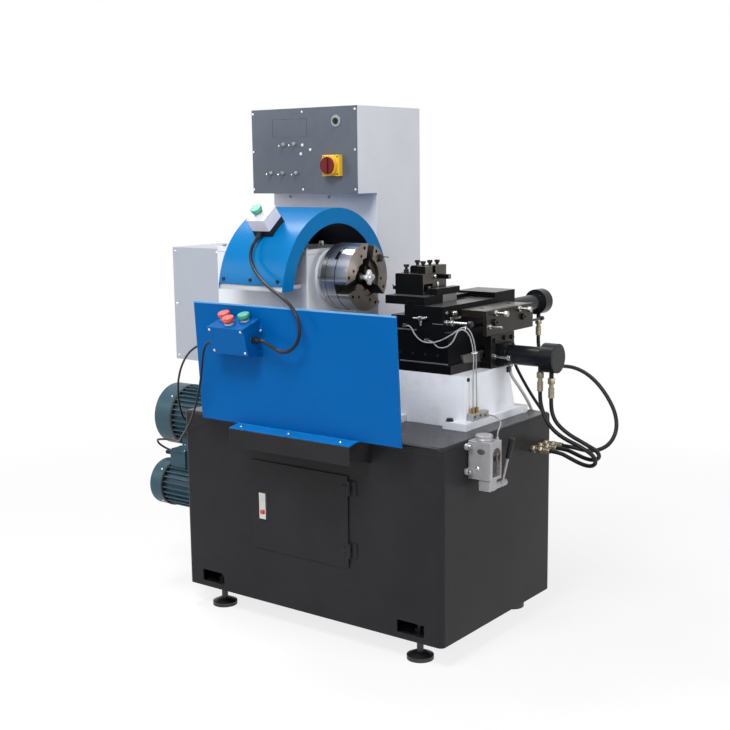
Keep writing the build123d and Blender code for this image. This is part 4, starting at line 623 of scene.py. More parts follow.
for number, jaw_angle in enumerate(JAW_ANGLES, start=1):
    bolts = [(on_ring(depth, SPINDLE, reach, 90 - jaw_angle - side), RIGHT)
             for side, reach, depth in JAW_BOLTS]
    repeat(f"jaw_{number}_bolts", socket_screw(5.2, 1.2, 3.2), bolts, *BLACKED, f"jaw_{number}",
           loose=KEY_TURN, seed=number)
forge("jaw_pin", [
    turned((190, -30, 1139), RIGHT, [(0, 2.2), (3, 2.2), (3.5, 1.5), (36, 1.5), (37, 1.0)], sides=12),
    slab((193, -41, 1124), (201, -23, 1147), soft=1.5),
], *BLACKED, "jaw_1")


# Chuck guard: rolled sheet with end plates, sprayed blue, hung on two rails at the headstock.
# A moulded button box sits on it with a green mushroom button.
def above_guard(at):
    """Height of a point over the guard under the button box."""
    return (at - BOX_ORIGIN).dot(BOX_OUT)


def on_box(x, y, z):
    """A point by its place across, up and out from the button box's foot."""
    return BOX_ORIGIN + Vector((x, 0, 0)) + BOX_UP * y + BOX_OUT * z


def inside_guard(at, out):
    """True for faces that look towards the middle of the guard's arch, between its end plates."""
    inward = (at.y - GUARD_AXIS[0]) * out.y + (at.z - GUARD_AXIS[1]) * out.z < 0
    return inward and -181.5 < at.x < 74.5 and abs(out.x) < 0.5


GUARD_AXIS = (-100, 1026)
BOX_ORIGIN = Vector((-54, -268.03, 1233.5))
BOX_OUT = Vector((0, -0.6293, 0.7771))
BOX_UP = Vector((0, 0.7771, 0.6293))
BOX_TOP = 62
# The guard's blue is lighter than the splash panel's blue paint: painted light for the brighter light falling
# on the guard.
guard_lit_blue = finish("guard_lit_blue", (0, 110, 172), (0.24, 0.36), drift=0.06, cloud=3.0, worn=(70, 160, 214),
                    wear=0.45, edge=0.003, shine=0.1)
# A dark navy for the faces inside the guard's arch: painted shade inside the guard.
guard_inside_shade = finish("guard_inside_shade", (18, 24, 34), (0.4, 0.55), drift=0.1, cloud=6.0, shine=0.1)
rail_paint = finish("rail_paint", (206, 209, 215), (0.36, 0.5), worn=(190, 190, 192), wear=0.4)
pale_plastic = finish("pale_plastic", (216, 214, 222), (0.34, 0.46), drift=0.04, cloud=14.0, relief=0.05,
                      worn=(236, 235, 238), wear=0.4)
green_plastic = finish("green_plastic", (58, 158, 132), (0.3, 0.42), drift=0.06, cloud=20.0, relief=0.03)
# The whole guard takes the lighter, painted-light blue.
dress(guard_lit_blue, "chuck_guard")
# Painted shade: the inside of the arch and the left end plate's inner face get the dark navy.
dress_where("chuck_guard", guard_inside_shade, inside_guard)
dress_where("chuck_guard", guard_inside_shade, lambda at, out: out.x > 0.5 and at.x < -150)
dress_where("chuck_guard", rail_paint,
            lambda at, out: at.z < 1071.5 and abs(at.y - GUARD_AXIS[0]) < 260.2 and -181.5 < at.x < 75.5)
rail_screws = []
for x in (-166, -55, 56):
    rail_screws += [((x, -361.5, 1081), (0, -0.98, 0.2)), ((x, 161.5, 1081), (0, 0.98, 0.2))]
repeat("guard_rail_screws", socket_screw(5.4, 4.0, 2.8), rail_screws, *BLACKED, loose=KEY_TURN)
dress(pale_plastic, "guard_button_box")
dress_where("guard_button_box", black_plastic, lambda at, out: above_guard(at) < 20.1)
dress(green_plastic, "guard_button", "start_button")
box_screws = [(on_box(x, y, BOX_TOP), BOX_OUT) for x in (-29, 29) for y in (-29, 29)]
repeat("guard_box_screws", pan_screw(4.0, 1.6), box_screws, *PLATED, loose=ANY_TURN, seed=2)
forge("guard_box_gland", gland(on_box(-6, -36, 10), -BOX_UP, 8.2, 5.25), black_plastic, "black_plastic")


# Splash panel and button station: folded sheet sprayed blue, screwed to the ledge by its flange,
# with a sheet box that carries two red stop buttons and a green start button.
SLOPE = math.atan2(26.0, 530 - 452.27)
TOP_OUT = Vector((0, -math.sin(SLOPE), math.cos(SLOPE)))
STATION_EDGE = Vector((0, -530, 955))
STATION_OUT = (0, -0.962, -0.273)
FLANGE_OUT = (0, -0.164, 0.986)
blue_paint = finish("blue_paint", (0, 88, 157), (0.26, 0.38), drift=0.06, cloud=3.0, worn=(70, 150, 214),
                    wear=0.45, edge=0.003, shine=0.06)
# The flange's up-facing faces get a lighter copy of the blue paint: a painted highlight where the light falls
# on them.
flange_highlight_blue = finish("flange_highlight_blue", (14, 118, 190), (0.28, 0.4), cloud=5.0, worn=(96, 170, 224), wear=0.5,
                     edge=0.003, shine=0.12)
# A lighter blue for the panel's top hem: a painted highlight along the top edge.
hem_highlight_blue = finish("hem_highlight_blue", (96, 158, 208), (0.3, 0.42), cloud=8.0, shine=0.2)
red_plastic = finish("red_plastic", (212, 84, 74), (0.3, 0.42), drift=0.06, cloud=20.0, relief=0.03)
dress(blue_paint, "splash_panel", "button_station")
# Painted highlight: the lighter blue on the flange's up-facing faces.
dress_where("splash_panel", flange_highlight_blue, lambda at, out: out.z > 0.5 and at.z < 660)
dress(red_plastic, "stop_button_1", "stop_button_2")
dress_where("splash_panel", black_plastic,
            lambda at, out: abs(at.x + 110) < 9.5 and abs(at.z - 895) < 9.5 and at.y > -445)
dress_where("button_station", pale_plastic, lambda at, out: (at - STATION_EDGE).dot(TOP_OUT) > 0.3)
dress_where("button_station", black_plastic,
            lambda at, out: (at.x > 63.2 and at.z < 930.2) or (at.x < -79.2 and at.z < 915))
station_screws = [((x, -459, 946), FRONT) for x in (-86, 70)]
station_screws += [((x, y, z), STATION_OUT) for y, z in ((-509.5, 883), (-528.3, 947)) for x in (-70, 54)]
repeat("station_screws", pan_screw(4.2, 2.4), station_screws, *PLATED, loose=ANY_TURN, seed=5)
flange_screws = [((x, -453, 646.2), FLANGE_OUT) for x in (-23, 165, 359)]
repeat("flange_screws", pan_screw(5.5, 3.2), flange_screws, *PLATED, loose=ANY_TURN, seed=6)
forge("station_glands", gland((63, -485, 920), RIGHT, 9.0, 5.25) + gland((-79, -497, 903), LEFT, 7.0, 3.5),
      black_plastic, "black_plastic")
# The hem strip carries the painted highlight along the panel's top edge.
forge("panel_hem", [slab((-206, -455.9, 1013), (557, -450.5, 1018.4), soft=1.2)], hem_highlight_blue, "blue_paint")


# Electrical cabinet: a sheet-steel column with a wider head, sprayed light grey, with the slate
# control panel screwed to its front. The panel has an isolator, a selector, toggles and small lamps.
def proud(at):
    """True for what stands out of the control panel's face."""
    return at.y < PANEL_FACE - 0.3


PANEL_FACE = 144
LAMP_PLACES = ((-258, 1494), (-223, 1478), (-265, 1465))
TOGGLES = ((-343, 1497), (-296, 1498), (-402, 1401), (-349, 1400), (-288, 1400))
ISOLATOR = (-122, 1424)
SELECTOR = (-111, 1571)
SELECTOR_R, SELECTOR_RIBS = 19, 40
PANEL_SCREWS = ((-483, 1605), (-259, 1606), (-32, 1607), (-484, 1475),
                (-33, 1475), (-486, 1344), (-260, 1344), (-33, 1344))
WINDOW_X, WINDOW_Z = (-394, -240), (1523, 1584)
LINE_Y, LINE_HALF = (143.4, 144.1), 0.8
grey_paint = finish("grey_paint", (212, 214, 222), (0.34, 0.46), drift=0.03, worn=(238, 238, 240), wear=0.4,
                    edge=0.002, grime=(176, 174, 176), soil=0.16, shine=0.3)
slate_panel = finish("slate_panel", (84, 91, 102), (0.36, 0.48), drift=0.14, cloud=2.6, grime=(62, 69, 81),
                     soil=0.4, worn=(140, 145, 155), wear=0.4, shine=0.3)
yellow_plastic = finish("yellow_plastic", (238, 186, 46), (0.3, 0.42), drift=0.05, cloud=18.0)
dark_red_plastic = finish("dark_red_plastic", (106, 20, 26), (0.28, 0.4), cloud=18.0, shine=0.2)
lamp_white = finish("lamp_white", (235, 235, 235), (0.15, 0.25), drift=0.03, cloud=60.0, coat=0.4)
selector_grey = finish("selector_grey", (150, 153, 158), (0.36, 0.5), cloud=40.0)
window_line = finish("window_line", (72, 78, 89), (0.4, 0.5), drift=0.1, cloud=30.0)
dress(grey_paint, "electrical_cabinet")
dress_where("electrical_cabinet", black_plastic, lambda at, out: at.y > 510.2)
dress(slate_panel, "control_panel")
dress_where("control_panel", selector_grey, lambda at, out: proud(at))
dress_where("control_panel", yellow_plastic,
            lambda at, out: proud(at) and abs(at.x - ISOLATOR[0]) < 36 and abs(at.z - ISOLATOR[1]) < 36)
for x, z in LAMP_PLACES:
    dress_where("control_panel", lamp_white, lambda at, out: proud(at) and math.hypot(at.x - x, at.z - z) < 5)
dress(dark_red_plastic, "isolator_knob")
plate_screws = [((ISOLATOR[0] + x, 124, ISOLATOR[1] + z), FRONT) for x in (-29, 29) for z in (-29, 29)]
repeat("isolator_screws", pan_screw(3.0, 1.8), plate_screws, *BLACKED, loose=ANY_TURN, seed=18)
dress(black_plastic, "selector_knob")
dress(nickel, "toggle_1", "toggle_2", "toggle_3", "toggle_4", "toggle_5")
edge_screws = [((x, PANEL_FACE, z), FRONT) for x, z in PANEL_SCREWS]
repeat("panel_screws", pan_screw(3.8, 2.2), edge_screws, lamp_white, "white_paint", loose=ANY_TURN, seed=7)
column_bolts = [((x, 254, 1316), FRONT) for x in (-412, -235)]
repeat("column_bolts", hex_bolt(4.4, 4.0), column_bolts, selector_grey, "nickel", loose=KEY_TURN, seed=8)
back_screws = [((x, 510, z), BACK) for x in (-476, -258, -39) for z in (40, 480, 900, 1300, 1600)]
repeat("cabinet_back_screws", pan_screw(5.0, 2.8), back_screws, *PLATED, loose=ANY_TURN, seed=9)
switch_nuts = [turned((x, PANEL_FACE, z), FRONT, [(0, 7.6, 6), (3.4, 7.6, 6), (4.0, 6.6), (7.4, 6.2)])
               for x, z in TOGGLES]
switch_nuts += [turned((x, PANEL_FACE, z), FRONT, [(0, 5.6), (1.4, 5.4), (2.0, 4.7)]) for x, z in LAMP_PLACES]
forge("switch_nuts", switch_nuts, selector_grey, "nickel")
ribs = []
for step in range(SELECTOR_RIBS):
    turn = math.tau * step / SELECTOR_RIBS
    spot = (SELECTOR[0] + SELECTOR_R * math.cos(turn), PANEL_FACE, SELECTOR[1] + SELECTOR_R * math.sin(turn))
    ribs.append((spot, FRONT, -turn))
repeat("selector_ring_ribs", [slab((-0.9, -1.0, 0), (0.9, 1.0, 2.8), soft=0.3)], ribs, selector_grey,
       "nickel")
display_lines = [
    slab((x - LINE_HALF, LINE_Y[0], WINDOW_Z[0]), (x + LINE_HALF, LINE_Y[1], WINDOW_Z[1]), soft=0.2)
    for x in WINDOW_X]
display_lines += [
    slab((WINDOW_X[0], LINE_Y[0], z - LINE_HALF), (WINDOW_X[1], LINE_Y[1], z + LINE_HALF), soft=0.2)
    for z in WINDOW_Z]
forge("display_outline", display_lines, window_line, "slate_panel")


# Slide pedestal: a cast stand, filled and sprayed white, bolted to the base by its lugs,
# with cap screws near its upper corners and a small blackened clip on its right side.
white_paint = finish("white_paint", (233, 236, 243), (0.3, 0.42), drift=0.03, relief=0.06,
                     worn=(170, 158, 148), wear=0.35, edge=0.003, grime=(178, 164, 154), soil=0.3)
dress(white_paint, "pedestal")
lug_bolts = [((x, y, 670), UP) for x in (315, 520) for y in (-134, 199)]
repeat("pedestal_bolts", hex_bolt(10.0, 9.0), lug_bolts, *BLACKED, loose=KEY_TURN, seed=10)
corner_screws = [((560, -97, 792), RIGHT), ((300, -97, 792), LEFT), ((300, 110, 792), LEFT)]
repeat("pedestal_screws", socket_screw(6.0, 4.0, 3.0), corner_screws, *BLACKED, loose=KEY_TURN)
forge("pedestal_clip", [slab((559.5, 127, 783), (566, 145, 801), soft=1.5)], *BLACKED)


# Slide bed and long slide: ground and blackened steel with dovetail ways, pushed by the long cylinder.
# The bed also carries the cylinder's bracket, a stop bolt and a conduit gland.
GIB_FRONT, GIB_BACK = -121.0, -119.6
GIBS = ((331, 505, 833.5, 837.5), (324, 392, 929.5, 934.0), (450, 488, 952.8, 955.2))
bed_steel = finish("bed_steel", (50, 46, 43), (0.3, 0.5), metal=0.5, drift=0.25, cloud=10.0, relief=0.05,
                   worn=(140, 132, 122), edge=0.0018, grime=(28, 25, 23), soil=0.6, shine=0.2)
ground_steel = finish("ground_steel", (128, 126, 124), (0.28, 0.44), metal=0.7, drift=0.14, cloud=12.0,
                      grain=(60, 900, 900), grime=(78, 72, 66), soil=0.4)
front_black = finish("front_black", (12, 13, 15), (0.3, 0.44), drift=0.2, cloud=12.0, relief=0.05,
                     worn=(84, 80, 76), wear=0.45, edge=0.0015, shine=0.06)
dark_ground = finish("dark_ground", (90, 89, 90), (0.26, 0.42), metal=0.5, drift=0.16, cloud=12.0,
                     grain=(900, 60, 900), worn=(170, 164, 156), grime=(48, 44, 42))
bolt_steel = finish("bolt_steel", (164, 163, 160), (0.22, 0.38), metal=1.0, drift=0.16, cloud=40.0,
                    grime=(70, 66, 62), soil=0.4)
dress(bed_steel, "slide_bed")
dress_where("slide_bed", front_black, lambda at, out: out.y < -0.5)
dress_where("slide_bed", ground_steel, lambda at, out: at.z > 832.1 and at.x < 516)
dress_where("slide_bed", rail_paint, lambda at, out: at.z < 804.9 or at.y > 254)
dress_where("slide_bed", bolt_steel, lambda at, out: at.x > 555.2)
dress(front_black, "long_slide")
dress_where("long_slide", dark_ground, lambda at, out: out.z > 0.5 and at.z > 928)
dress_where("long_slide", bright_steel, lambda at, out: at.x > 507.3)
dress_where("long_slide", bolt_steel, lambda at, out: at.y < -120.3)
bracket_screws = [((555, y, z), RIGHT) for y, z in ((60, 890), (164, 890), (164, 832), (120, 893))]
repeat("bracket_screws", socket_screw(7.0, 7.0, 3.6), bracket_screws, *BLACKED, loose=KEY_TURN, seed=11)
gibs = [slab((left, GIB_FRONT, low), (right, GIB_BACK, high), soft=0.4) for left, right, low, high in GIBS]
forge("slide_gibs", gibs, ground_steel, "ground_steel", "long_slide")
gib_screws = [((x, GIB_FRONT, 860), FRONT) for x in (335, 380, 425, 470)]
repeat("gib_screws", socket_screw(4.6, 2.4, 2.6), gib_screws, *BLACKED, "long_slide", loose=KEY_TURN)
forge("oil_tee", [
    slab((404, -130, 961), (418, -120, 975), soft=1.5),
    turned((418, -125, 968), (1, 0, 0.25), [(0, 4.6, 6), (8, 4.6, 6), (9, 3.4), (18, 3.4)]),
    turned((404, -125, 968), LEFT, [(0, 4.6, 6), (6, 4.6, 6), (7, 3.2), (20, 3.2)]),
    turned((411, -125, 961), DOWN, [(0, 4.4, 6), (6, 4.4, 6), (7, 3), (14, 3)]),
], bolt_steel, "nickel", "long_slide")


# Stop plate: ground plates bolted beside the saddle, with two adjusting bolts, a pin and a tie rod.
# The bolts' heads and lock nuts are bright, the tie rod's knob is black.
STOP_FACE = 582
plate_steel = finish("plate_steel", (53, 50, 46), (0.28, 0.44), metal=0.75, drift=0.16, cloud=8.0,
                     worn=(170, 164, 152), edge=0.0015, grime=(40, 37, 33), shine=0.2)
dress(plate_steel, "stop_plate")
dress_where("stop_plate", bolt_steel, lambda at, out: at.x > STOP_FACE + 0.2 or at.y < -30)
dress_where("stop_plate", dark_screw, lambda at, out: at.y > 250.2)
dress_where("stop_plate", ground_steel, lambda at, out: at.x < 569.8 and at.z > 989.8 and at.y > -26)
plate_screws = [((STOP_FACE, y, 953), RIGHT) for y in (16, 184)]
repeat("stop_plate_screws", socket_screw(10.0, 9.0, 5.2), plate_screws, *BLACKED, "long_slide",
       loose=KEY_TURN, seed=12)
side_screws = [((528, y, 990), UP) for y in (30, 190)]
repeat("side_plate_screws", socket_screw(8.0, 1.2, 4.2), side_screws, *BLACKED, "long_slide",
       loose=KEY_TURN, seed=13)
stop_nuts = [turned((STOP_FACE, y, 980), RIGHT, [(0, 9.6, 6), (7, 9.6, 6), (7.6, 8)]) for y in (20, 160)]
stop_heads = [turned((616, y, 980), RIGHT, [(0, 9.3, 6), (8.8, 9.3, 6), (10.4, 7.6)]) for y in (20, 160)]
forge("tie_rod_nuts", [
    turned((504, -108, 959), RIGHT, [(0, 7), (1, 9), (11, 9), (12, 7)]),
    turned((490, -72, 984), RIGHT, [(0, 8, 6), (7, 8, 6), (7.6, 6), (16, 6)]),
    turned((488, -102, 987), RIGHT, [(0, 5), (2.6, 5), (3.4, 4)]),
    turned((488, -53, 983), RIGHT, [(0, 6), (3.2, 6), (4, 5)]),
    slab((487.5, -83, 964), (490.5, -26, 972)),
    *stop_nuts, *stop_heads,
], bolt_steel, "nickel", "long_slide")
forge("tie_rod_knob", [
    turned((566, -108, 959), RIGHT, [(0, 6), (2, 6), (4, 9.5), (14, 9.5), (17, 7)]),
], *BLACKED, "long_slide")


# Hydraulic cylinders: black enamelled tubes with turned caps, and plated hose ports below them.
# The long one is bolted to the bed's bracket, the cross one rides behind the long slide.
LONG_AXIS, CROSS_AXIS = (105, 845), (460, 963)
PORTS = {"long_cylinder": [(690, 105, 742, 816), (728, 105, 725, 801)],
         "cross_cylinder": [(460, 508, 850, 921.5), (460, 318, 880, 937)]}
enamel = finish("black_enamel", (22, 24, 27), (0.18, 0.3), cloud=8.0, relief=0.03, worn=(80, 82, 86),
                wear=0.3, edge=0.002, shine=0.18)
dress(enamel, "long_cylinder", "cross_cylinder")
for cylinder, body in (("long_cylinder", "frame"), ("cross_cylinder", "long_slide")):
    port_shapes = []
    for x, y, low, high in PORTS[cylinder]:
        dress_where(cylinder, fitting_metal,
                    lambda at, out: math.hypot(at.x - x, at.y - y) < 13 and at.z < high - 16)
        port_shapes += [union_nut((x, y, high - 34.4), UP, 17.0, 12.4),
                        crimped((x, y, low + 28), DOWN, 28.4, 9.4, 6.0)]
    forge(f"{cylinder}_ports", port_shapes, fitting_metal, "nickel", body)
forge("long_cylinder_rings", [
    turned((580, *LONG_AXIS), RIGHT, [(0, 32.5), (3, 32.5), (4.5, 31), (4.5, 30)], sides=48),
    turned((749, *LONG_AXIS), RIGHT, [(-1, 40), (0.8, 40), (1.6, 39)], sides=56),
], enamel, "black_paint")
flange_corners = [((580, LONG_AXIS[0] + y, LONG_AXIS[1] + z), RIGHT) for y in (-25, 25) for z in (-25, 25)]
repeat("long_cylinder_screws", socket_screw(6.0, 5.0, 3.2), flange_corners, *BLACKED, loose=KEY_TURN,
       seed=17)
cross_x, cross_z = CROSS_AXIS
forge("cross_cylinder_rings", [
    turned((cross_x, 299, cross_z), BACK, [(0, 29.5), (5, 29.5), (6.5, 27.5), (6.5, 26.5)], sides=48),
    turned((cross_x, 529, cross_z), BACK, [(-1, 38), (0.8, 38), (1.6, 37)], sides=56),
], enamel, "black_paint", "long_slide")


# Cross slide and tool post: a ground tool plate, a blackened clamp bar, and a stacked tool post
# with square-headed clamp screws over two tool bars with brazed tips.
post_steel = finish("post_steel", (70, 65, 59), (0.28, 0.46), metal=0.5, drift=0.3, cloud=16.0, relief=0.06,
                    worn=(170, 160, 148), wear=0.8, edge=0.002, grime=(40, 37, 35), soil=0.6)
tool_steel = finish("tool_steel", (120, 116, 110), (0.24, 0.4), metal=0.9, drift=0.16, cloud=30.0,
                    grime=(50, 44, 40))
dress(front_black, "cross_slide")
dress_where("cross_slide", dark_ground, lambda at, out: out.z > 0.5)
dress_where("cross_slide", ground_steel, lambda at, out: out.x > 0.5 and at.z < 1032.2)
dress_where("cross_slide", front_black, lambda at, out: at.x > 420.1 and at.z < 1031.8)
dress_where("cross_slide", bright_steel, lambda at, out: at.z < 1006)
dress(post_steel, "tool_post")
dress_where("tool_post", front_black, lambda at, out: out.y < -0.5)
dress_where("tool_post", dark_screw,
            lambda at, out: at.z > 1118.2 or (at.z > 1095.2 and at.x < 326 and at.y < -52))
dress_where("tool_post", tool_steel, lambda at, out: at.x < 286.8 or at.x > 390.2)
forge("tool_tips", [
    slab((256.5, 1.2, 1086.2), (268, 9.5, 1091.8), soft=0.5),
    slab((264.5, -64.8, 1053.2), (276, -56.5, 1058.8), soft=0.5),
], bright_steel, "ground_steel", "cross_slide")
forge("bar_end_screws", [
    turned((390, -21, 1085), RIGHT, [(0, 5.5), (8, 5.5), (9, 4.4)], sides=28),
    slab((389.5, -6, 1046), (393, 2, 1068)),
], *PLATED, "cross_slide")


# Hand oil pump: a cast body with a filler cap and a sight glass, on a bolted flange, with a lever
# and a brass distributor behind it on the pedestal's foot.
LEVER_PIVOT, LEVER_LEAN = Vector((698, -132, 508)), math.radians(14)
GRIP_LINE = Vector((math.sin(LEVER_LEAN), 0, math.cos(LEVER_LEAN)))
OVAL_PLACE, OVAL_STRETCH = (0.694, -0.240, 0.620), (1.35, 1.0, 0.85)
SIGHT_Y, SIGHT_Z = (-231.0, -190.0), (548.0, 630.0)
SIGHT_R = (SIGHT_Y[1] - SIGHT_Y[0]) / 2
pump_metal = finish("pump_metal", (158, 158, 161), (0.3, 0.46), metal=0.35, drift=0.07, cloud=14.0,
                    relief=0.08, worn=(226, 226, 226), edge=0.003, grime=(120, 116, 114), soil=0.3)
brass = finish("brass", (150, 122, 74), (0.22, 0.4), metal=1.0, drift=0.14, cloud=50.0, grime=(80, 62, 36),
               soil=0.4)
oval_grey = finish("oval_grey", (72, 72, 78), (0.3, 0.42), drift=0.1, cloud=60.0)
sight_dark = finish("sight_dark", (38, 33, 31), (0.2, 0.32), drift=0.4, cloud=60.0, grime=(120, 106, 94),
                    soil=0.7)
sight_brown = finish("sight_brown", (84, 74, 67), (0.14, 0.3), drift=0.35, cloud=80.0)
dress(pump_metal, "oil_pump", "oil_pump_lever")
dress_where("oil_pump", brass, lambda at, out: at.x < 600 and (at.z > 690.2 or at.x > 582.2))
dress_where("oil_pump_lever", black_plastic, lambda at, out: (at - LEVER_PIVOT).dot(GRIP_LINE) > 77.5)
cap_rings = [(0, 25.5), (5, 25.5), (5.6, 24.3), (9, 24.3), (9.6, 25.2), (14, 25.2), (16.4, 23), (16.4, 8)]
forge("pump_cap", [turned((686, -211, 648), UP, cap_rings, sides=48)], pump_metal, "pump_metal")
ear_screws = [((659, y, z), RIGHT) for y in (-250.5, -170.5) for z in (560, 632)]
repeat("pump_ear_screws", socket_screw(6.4, 8.0, 3.2), ear_screws, *PLATED, loose=KEY_TURN, seed=14)
repeat("pump_front_screw", pan_screw(6.0, 3.2), [((682, -240, 570), FRONT)], *PLATED, seed=16)
disc_points, disc_faces = turned(ORIGIN, FRONT, [(-0.5, 9.5), (0.8, 9.5), (1.2, 8.6)], sides=40)
oval_points = [Vector(a * b + c for a, b, c in zip(spot, OVAL_STRETCH, OVAL_PLACE)) for spot in disc_points]
forge("pump_oval", [(oval_points, disc_faces)], oval_grey, "pump_metal")
forge("sight_slot", [
    slab((726.2, SIGHT_Y[0], SIGHT_Z[0]), (727.6, SIGHT_Y[1], SIGHT_Z[1] - SIGHT_R), soft=0.4),
    turned((726.2, SIGHT_Y[0] + SIGHT_R, SIGHT_Z[1] - SIGHT_R), RIGHT, [(0, SIGHT_R), (1.4, SIGHT_R)]),
], sight_dark, "blackened_steel")
forge("sight_glass", [
    turned((727.2, -210, 556), UP, [
        (0, 5), (2, 5.6), (10, 5.6), (11, 3.6), (52, 3.6), (53, 5.6), (60, 5.6), (62, 5)]),
], sight_brown, "pump_metal")
forge("lever_clevis", [
    slab((688, -200, 498), (708, -184, 519), soft=2.0),
    turned((698, -184, 508), BACK, [(0, 12, 6), (9, 12, 6), (10, 10.6), (34, 10.6), (35, 9.6)]),
    turned((698, -118, 508), BACK, [(0, 9, 6), (5.5, 9, 6), (6.2, 7)]),
], pump_metal, "pump_metal")
distributor_screws = [((582, y, 682), RIGHT) for y in (-92, -62)]
repeat("distributor_screws", socket_screw(4.4, 1.0, 3.0), distributor_screws, *BLACKED, loose=KEY_TURN,
       seed=15)


# Hoses, cables, oil tubes and conduit: each is one flexible length along its own route. Those that
# end on the moving slide run between the base and the slide and are left unparented in place.
WINDING_DEPTH = 0.0006
SHEATH_CLOUD, SHEATH_SHINE = 24.0, 0.2


def wrapped(name, colour, rough, turns, pitch, relief, drift=0.12):
    """A flexible sheath with a fine wound texture along it."""
    made = bpy.data.materials.new(name)
    tree = blank(made)
    layout = output(tree, "ShaderNodeUVMap", uv_map="along")
    coiled = output(tree, "ShaderNodeMapping", {"Vector": layout, "Scale": (turns, pitch, 1.0)})
    waves = {"Vector": coiled, "Scale": 1.0, "Distortion": 0.6, "Detail": 1.0}
    winding = node(tree, "ShaderNodeTexWave", waves, wave_type="BANDS",
                   bands_direction="DIAGONAL").outputs["Fac"]
    cloudy = noise(tree, node(tree, "ShaderNodeTexCoord").outputs["Object"], SHEATH_CLOUD, 5.0)
    shade = drifting(tree, cloudy, GRAIN_SPAN, colour, drift)
    bump = output(tree, "ShaderNodeBump", {
        "Height": winding, "Strength": relief, "Distance": WINDING_DEPTH})
    shader = output(tree, "ShaderNodeBsdfPrincipled", {
        "Base Color": shade, "Roughness": spread(tree, cloudy, *GRAIN_SPAN, *rough), "Normal": bump,
        "Specular IOR Level": SHEATH_SHINE})
    node(tree, "ShaderNodeOutputMaterial", {"Surface": shader})
    return made


def smooth_path(name, points):
    """Points along a smooth curve that a route's points control."""
    line = bpy.data.curves.new(name + "_line", "CURVE")
    line.dimensions = "3D"
    spline = line.splines.new("NURBS")
    spline.points.add(len(points) - 1)
    for knot, spot in zip(spline.points, points):
        knot.co = (*spot, 1.0)
    spline.order_u = 3
    spline.use_endpoint_u = True
    spline.resolution_u = 8
    holder = bpy.data.objects.new(name + "_line", line)
    scene.collection.objects.link(holder)
    graph = bpy.context.evaluated_depsgraph_get()
    read = bpy.data.meshes.new_from_object(holder.evaluated_get(graph), depsgraph=graph)
    path = [knot.co.copy() for knot in read.vertices]
    bpy.data.objects.remove(holder)
    bpy.data.meshes.remove(read)
    return path


def tube_mesh(name, path, diameter, sides):
    """A round tube along a path, with its length and girth laid out as UV."""
    corners, girth = [], []
    side = Vector((0.3, 0.5, 0.81))
    run = 0.0
    for index, spot in enumerate(path):
        ahead = path[min(index + 1, len(path) - 1)] - path[max(index - 1, 0)]
        ahead.normalize()
        side = (side - ahead * side.dot(ahead)).normalized()
        across = ahead.cross(side)
        if index:
            run += (spot - path[index - 1]).length
        for step in range(sides):
            angle = math.tau * step / sides
            corners.append(spot + (side * math.cos(angle) + across * math.sin(angle)) * diameter / 2)
            girth.append((step / sides, run))
    mesh = bpy.data.meshes.new(name)
    mesh.from_pydata(corners, [], tube_faces(len(path), sides))
    layout = mesh.uv_layers.new(name="along")
    for face in mesh.polygons:
        seam = max(girth[mesh.loops[loop].vertex_index][0] for loop in face.loop_indices) > 0.9
        for loop in face.loop_indices:
            around, along = girth[mesh.loops[loop].vertex_index]
            layout.data[loop].uv = (around + 1 if seam and around < 0.1 else around, along)
    mesh.shade_smooth()
    return mesh


def run_cord(name, kind, diameter, points, bends=None):
    """One cord, from its diameter and its route's points in metres. It rides the frame, or, where
    bends are given, stays unparented in place; nothing bends it between the bodies named there."""
    material, slot, stiffness, lay, sides = kind
    path = smooth_path(name, points)
    mesh = tube_mesh(name, path, diameter, sides)
    mesh.materials.append(material)
    made = bpy.data.objects.new(name + "_run", mesh)
    scene.collection.objects.link(made)
    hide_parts(name)
    if bends:
        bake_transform(made)
    else:
        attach(made, "frame")


hose_rubber = wrapped("hose_rubber", (24, 24, 25), (0.32, 0.46), 3.0, 320.0, 0.25)
cable_sheath = wrapped("cable_sheath", (28, 28, 31), (0.3, 0.42), 1.0, 60.0, 0.06)
clear_tube = wrapped("clear_tube", (150, 152, 155), (0.2, 0.34), 1.0, 40.0, 0.04, drift=0.05)
grey_conduit = wrapped("grey_conduit", (196, 196, 198), (0.34, 0.46), 0.5, 700.0, 0.5, drift=0.06)
HOSE = (hose_rubber, "hose_rubber", "stiff", "loose", 16)
CABLE = (cable_sheath, "cable_sheath", "medium", "hanging", 16)
OIL_TUBE = (clear_tube, "clear_tube", "limp", "loose", 12)
CONDUIT = (grey_conduit, "grey_conduit", "medium", "taut", 16)
HOSE_3_BEND = ("long_slide", "frame", (0.48, 0.50, 0.78), (0.80, 0.30, 0.62))
HOSE_4_BEND = ("long_slide", "frame", (0.46, 0.32, 0.84), (0.57, 0.33, 0.63))
OIL_TUBE_BEND = ("frame", "long_slide", (0.571, -0.07, 0.72), (0.575, -0.08, 0.88))

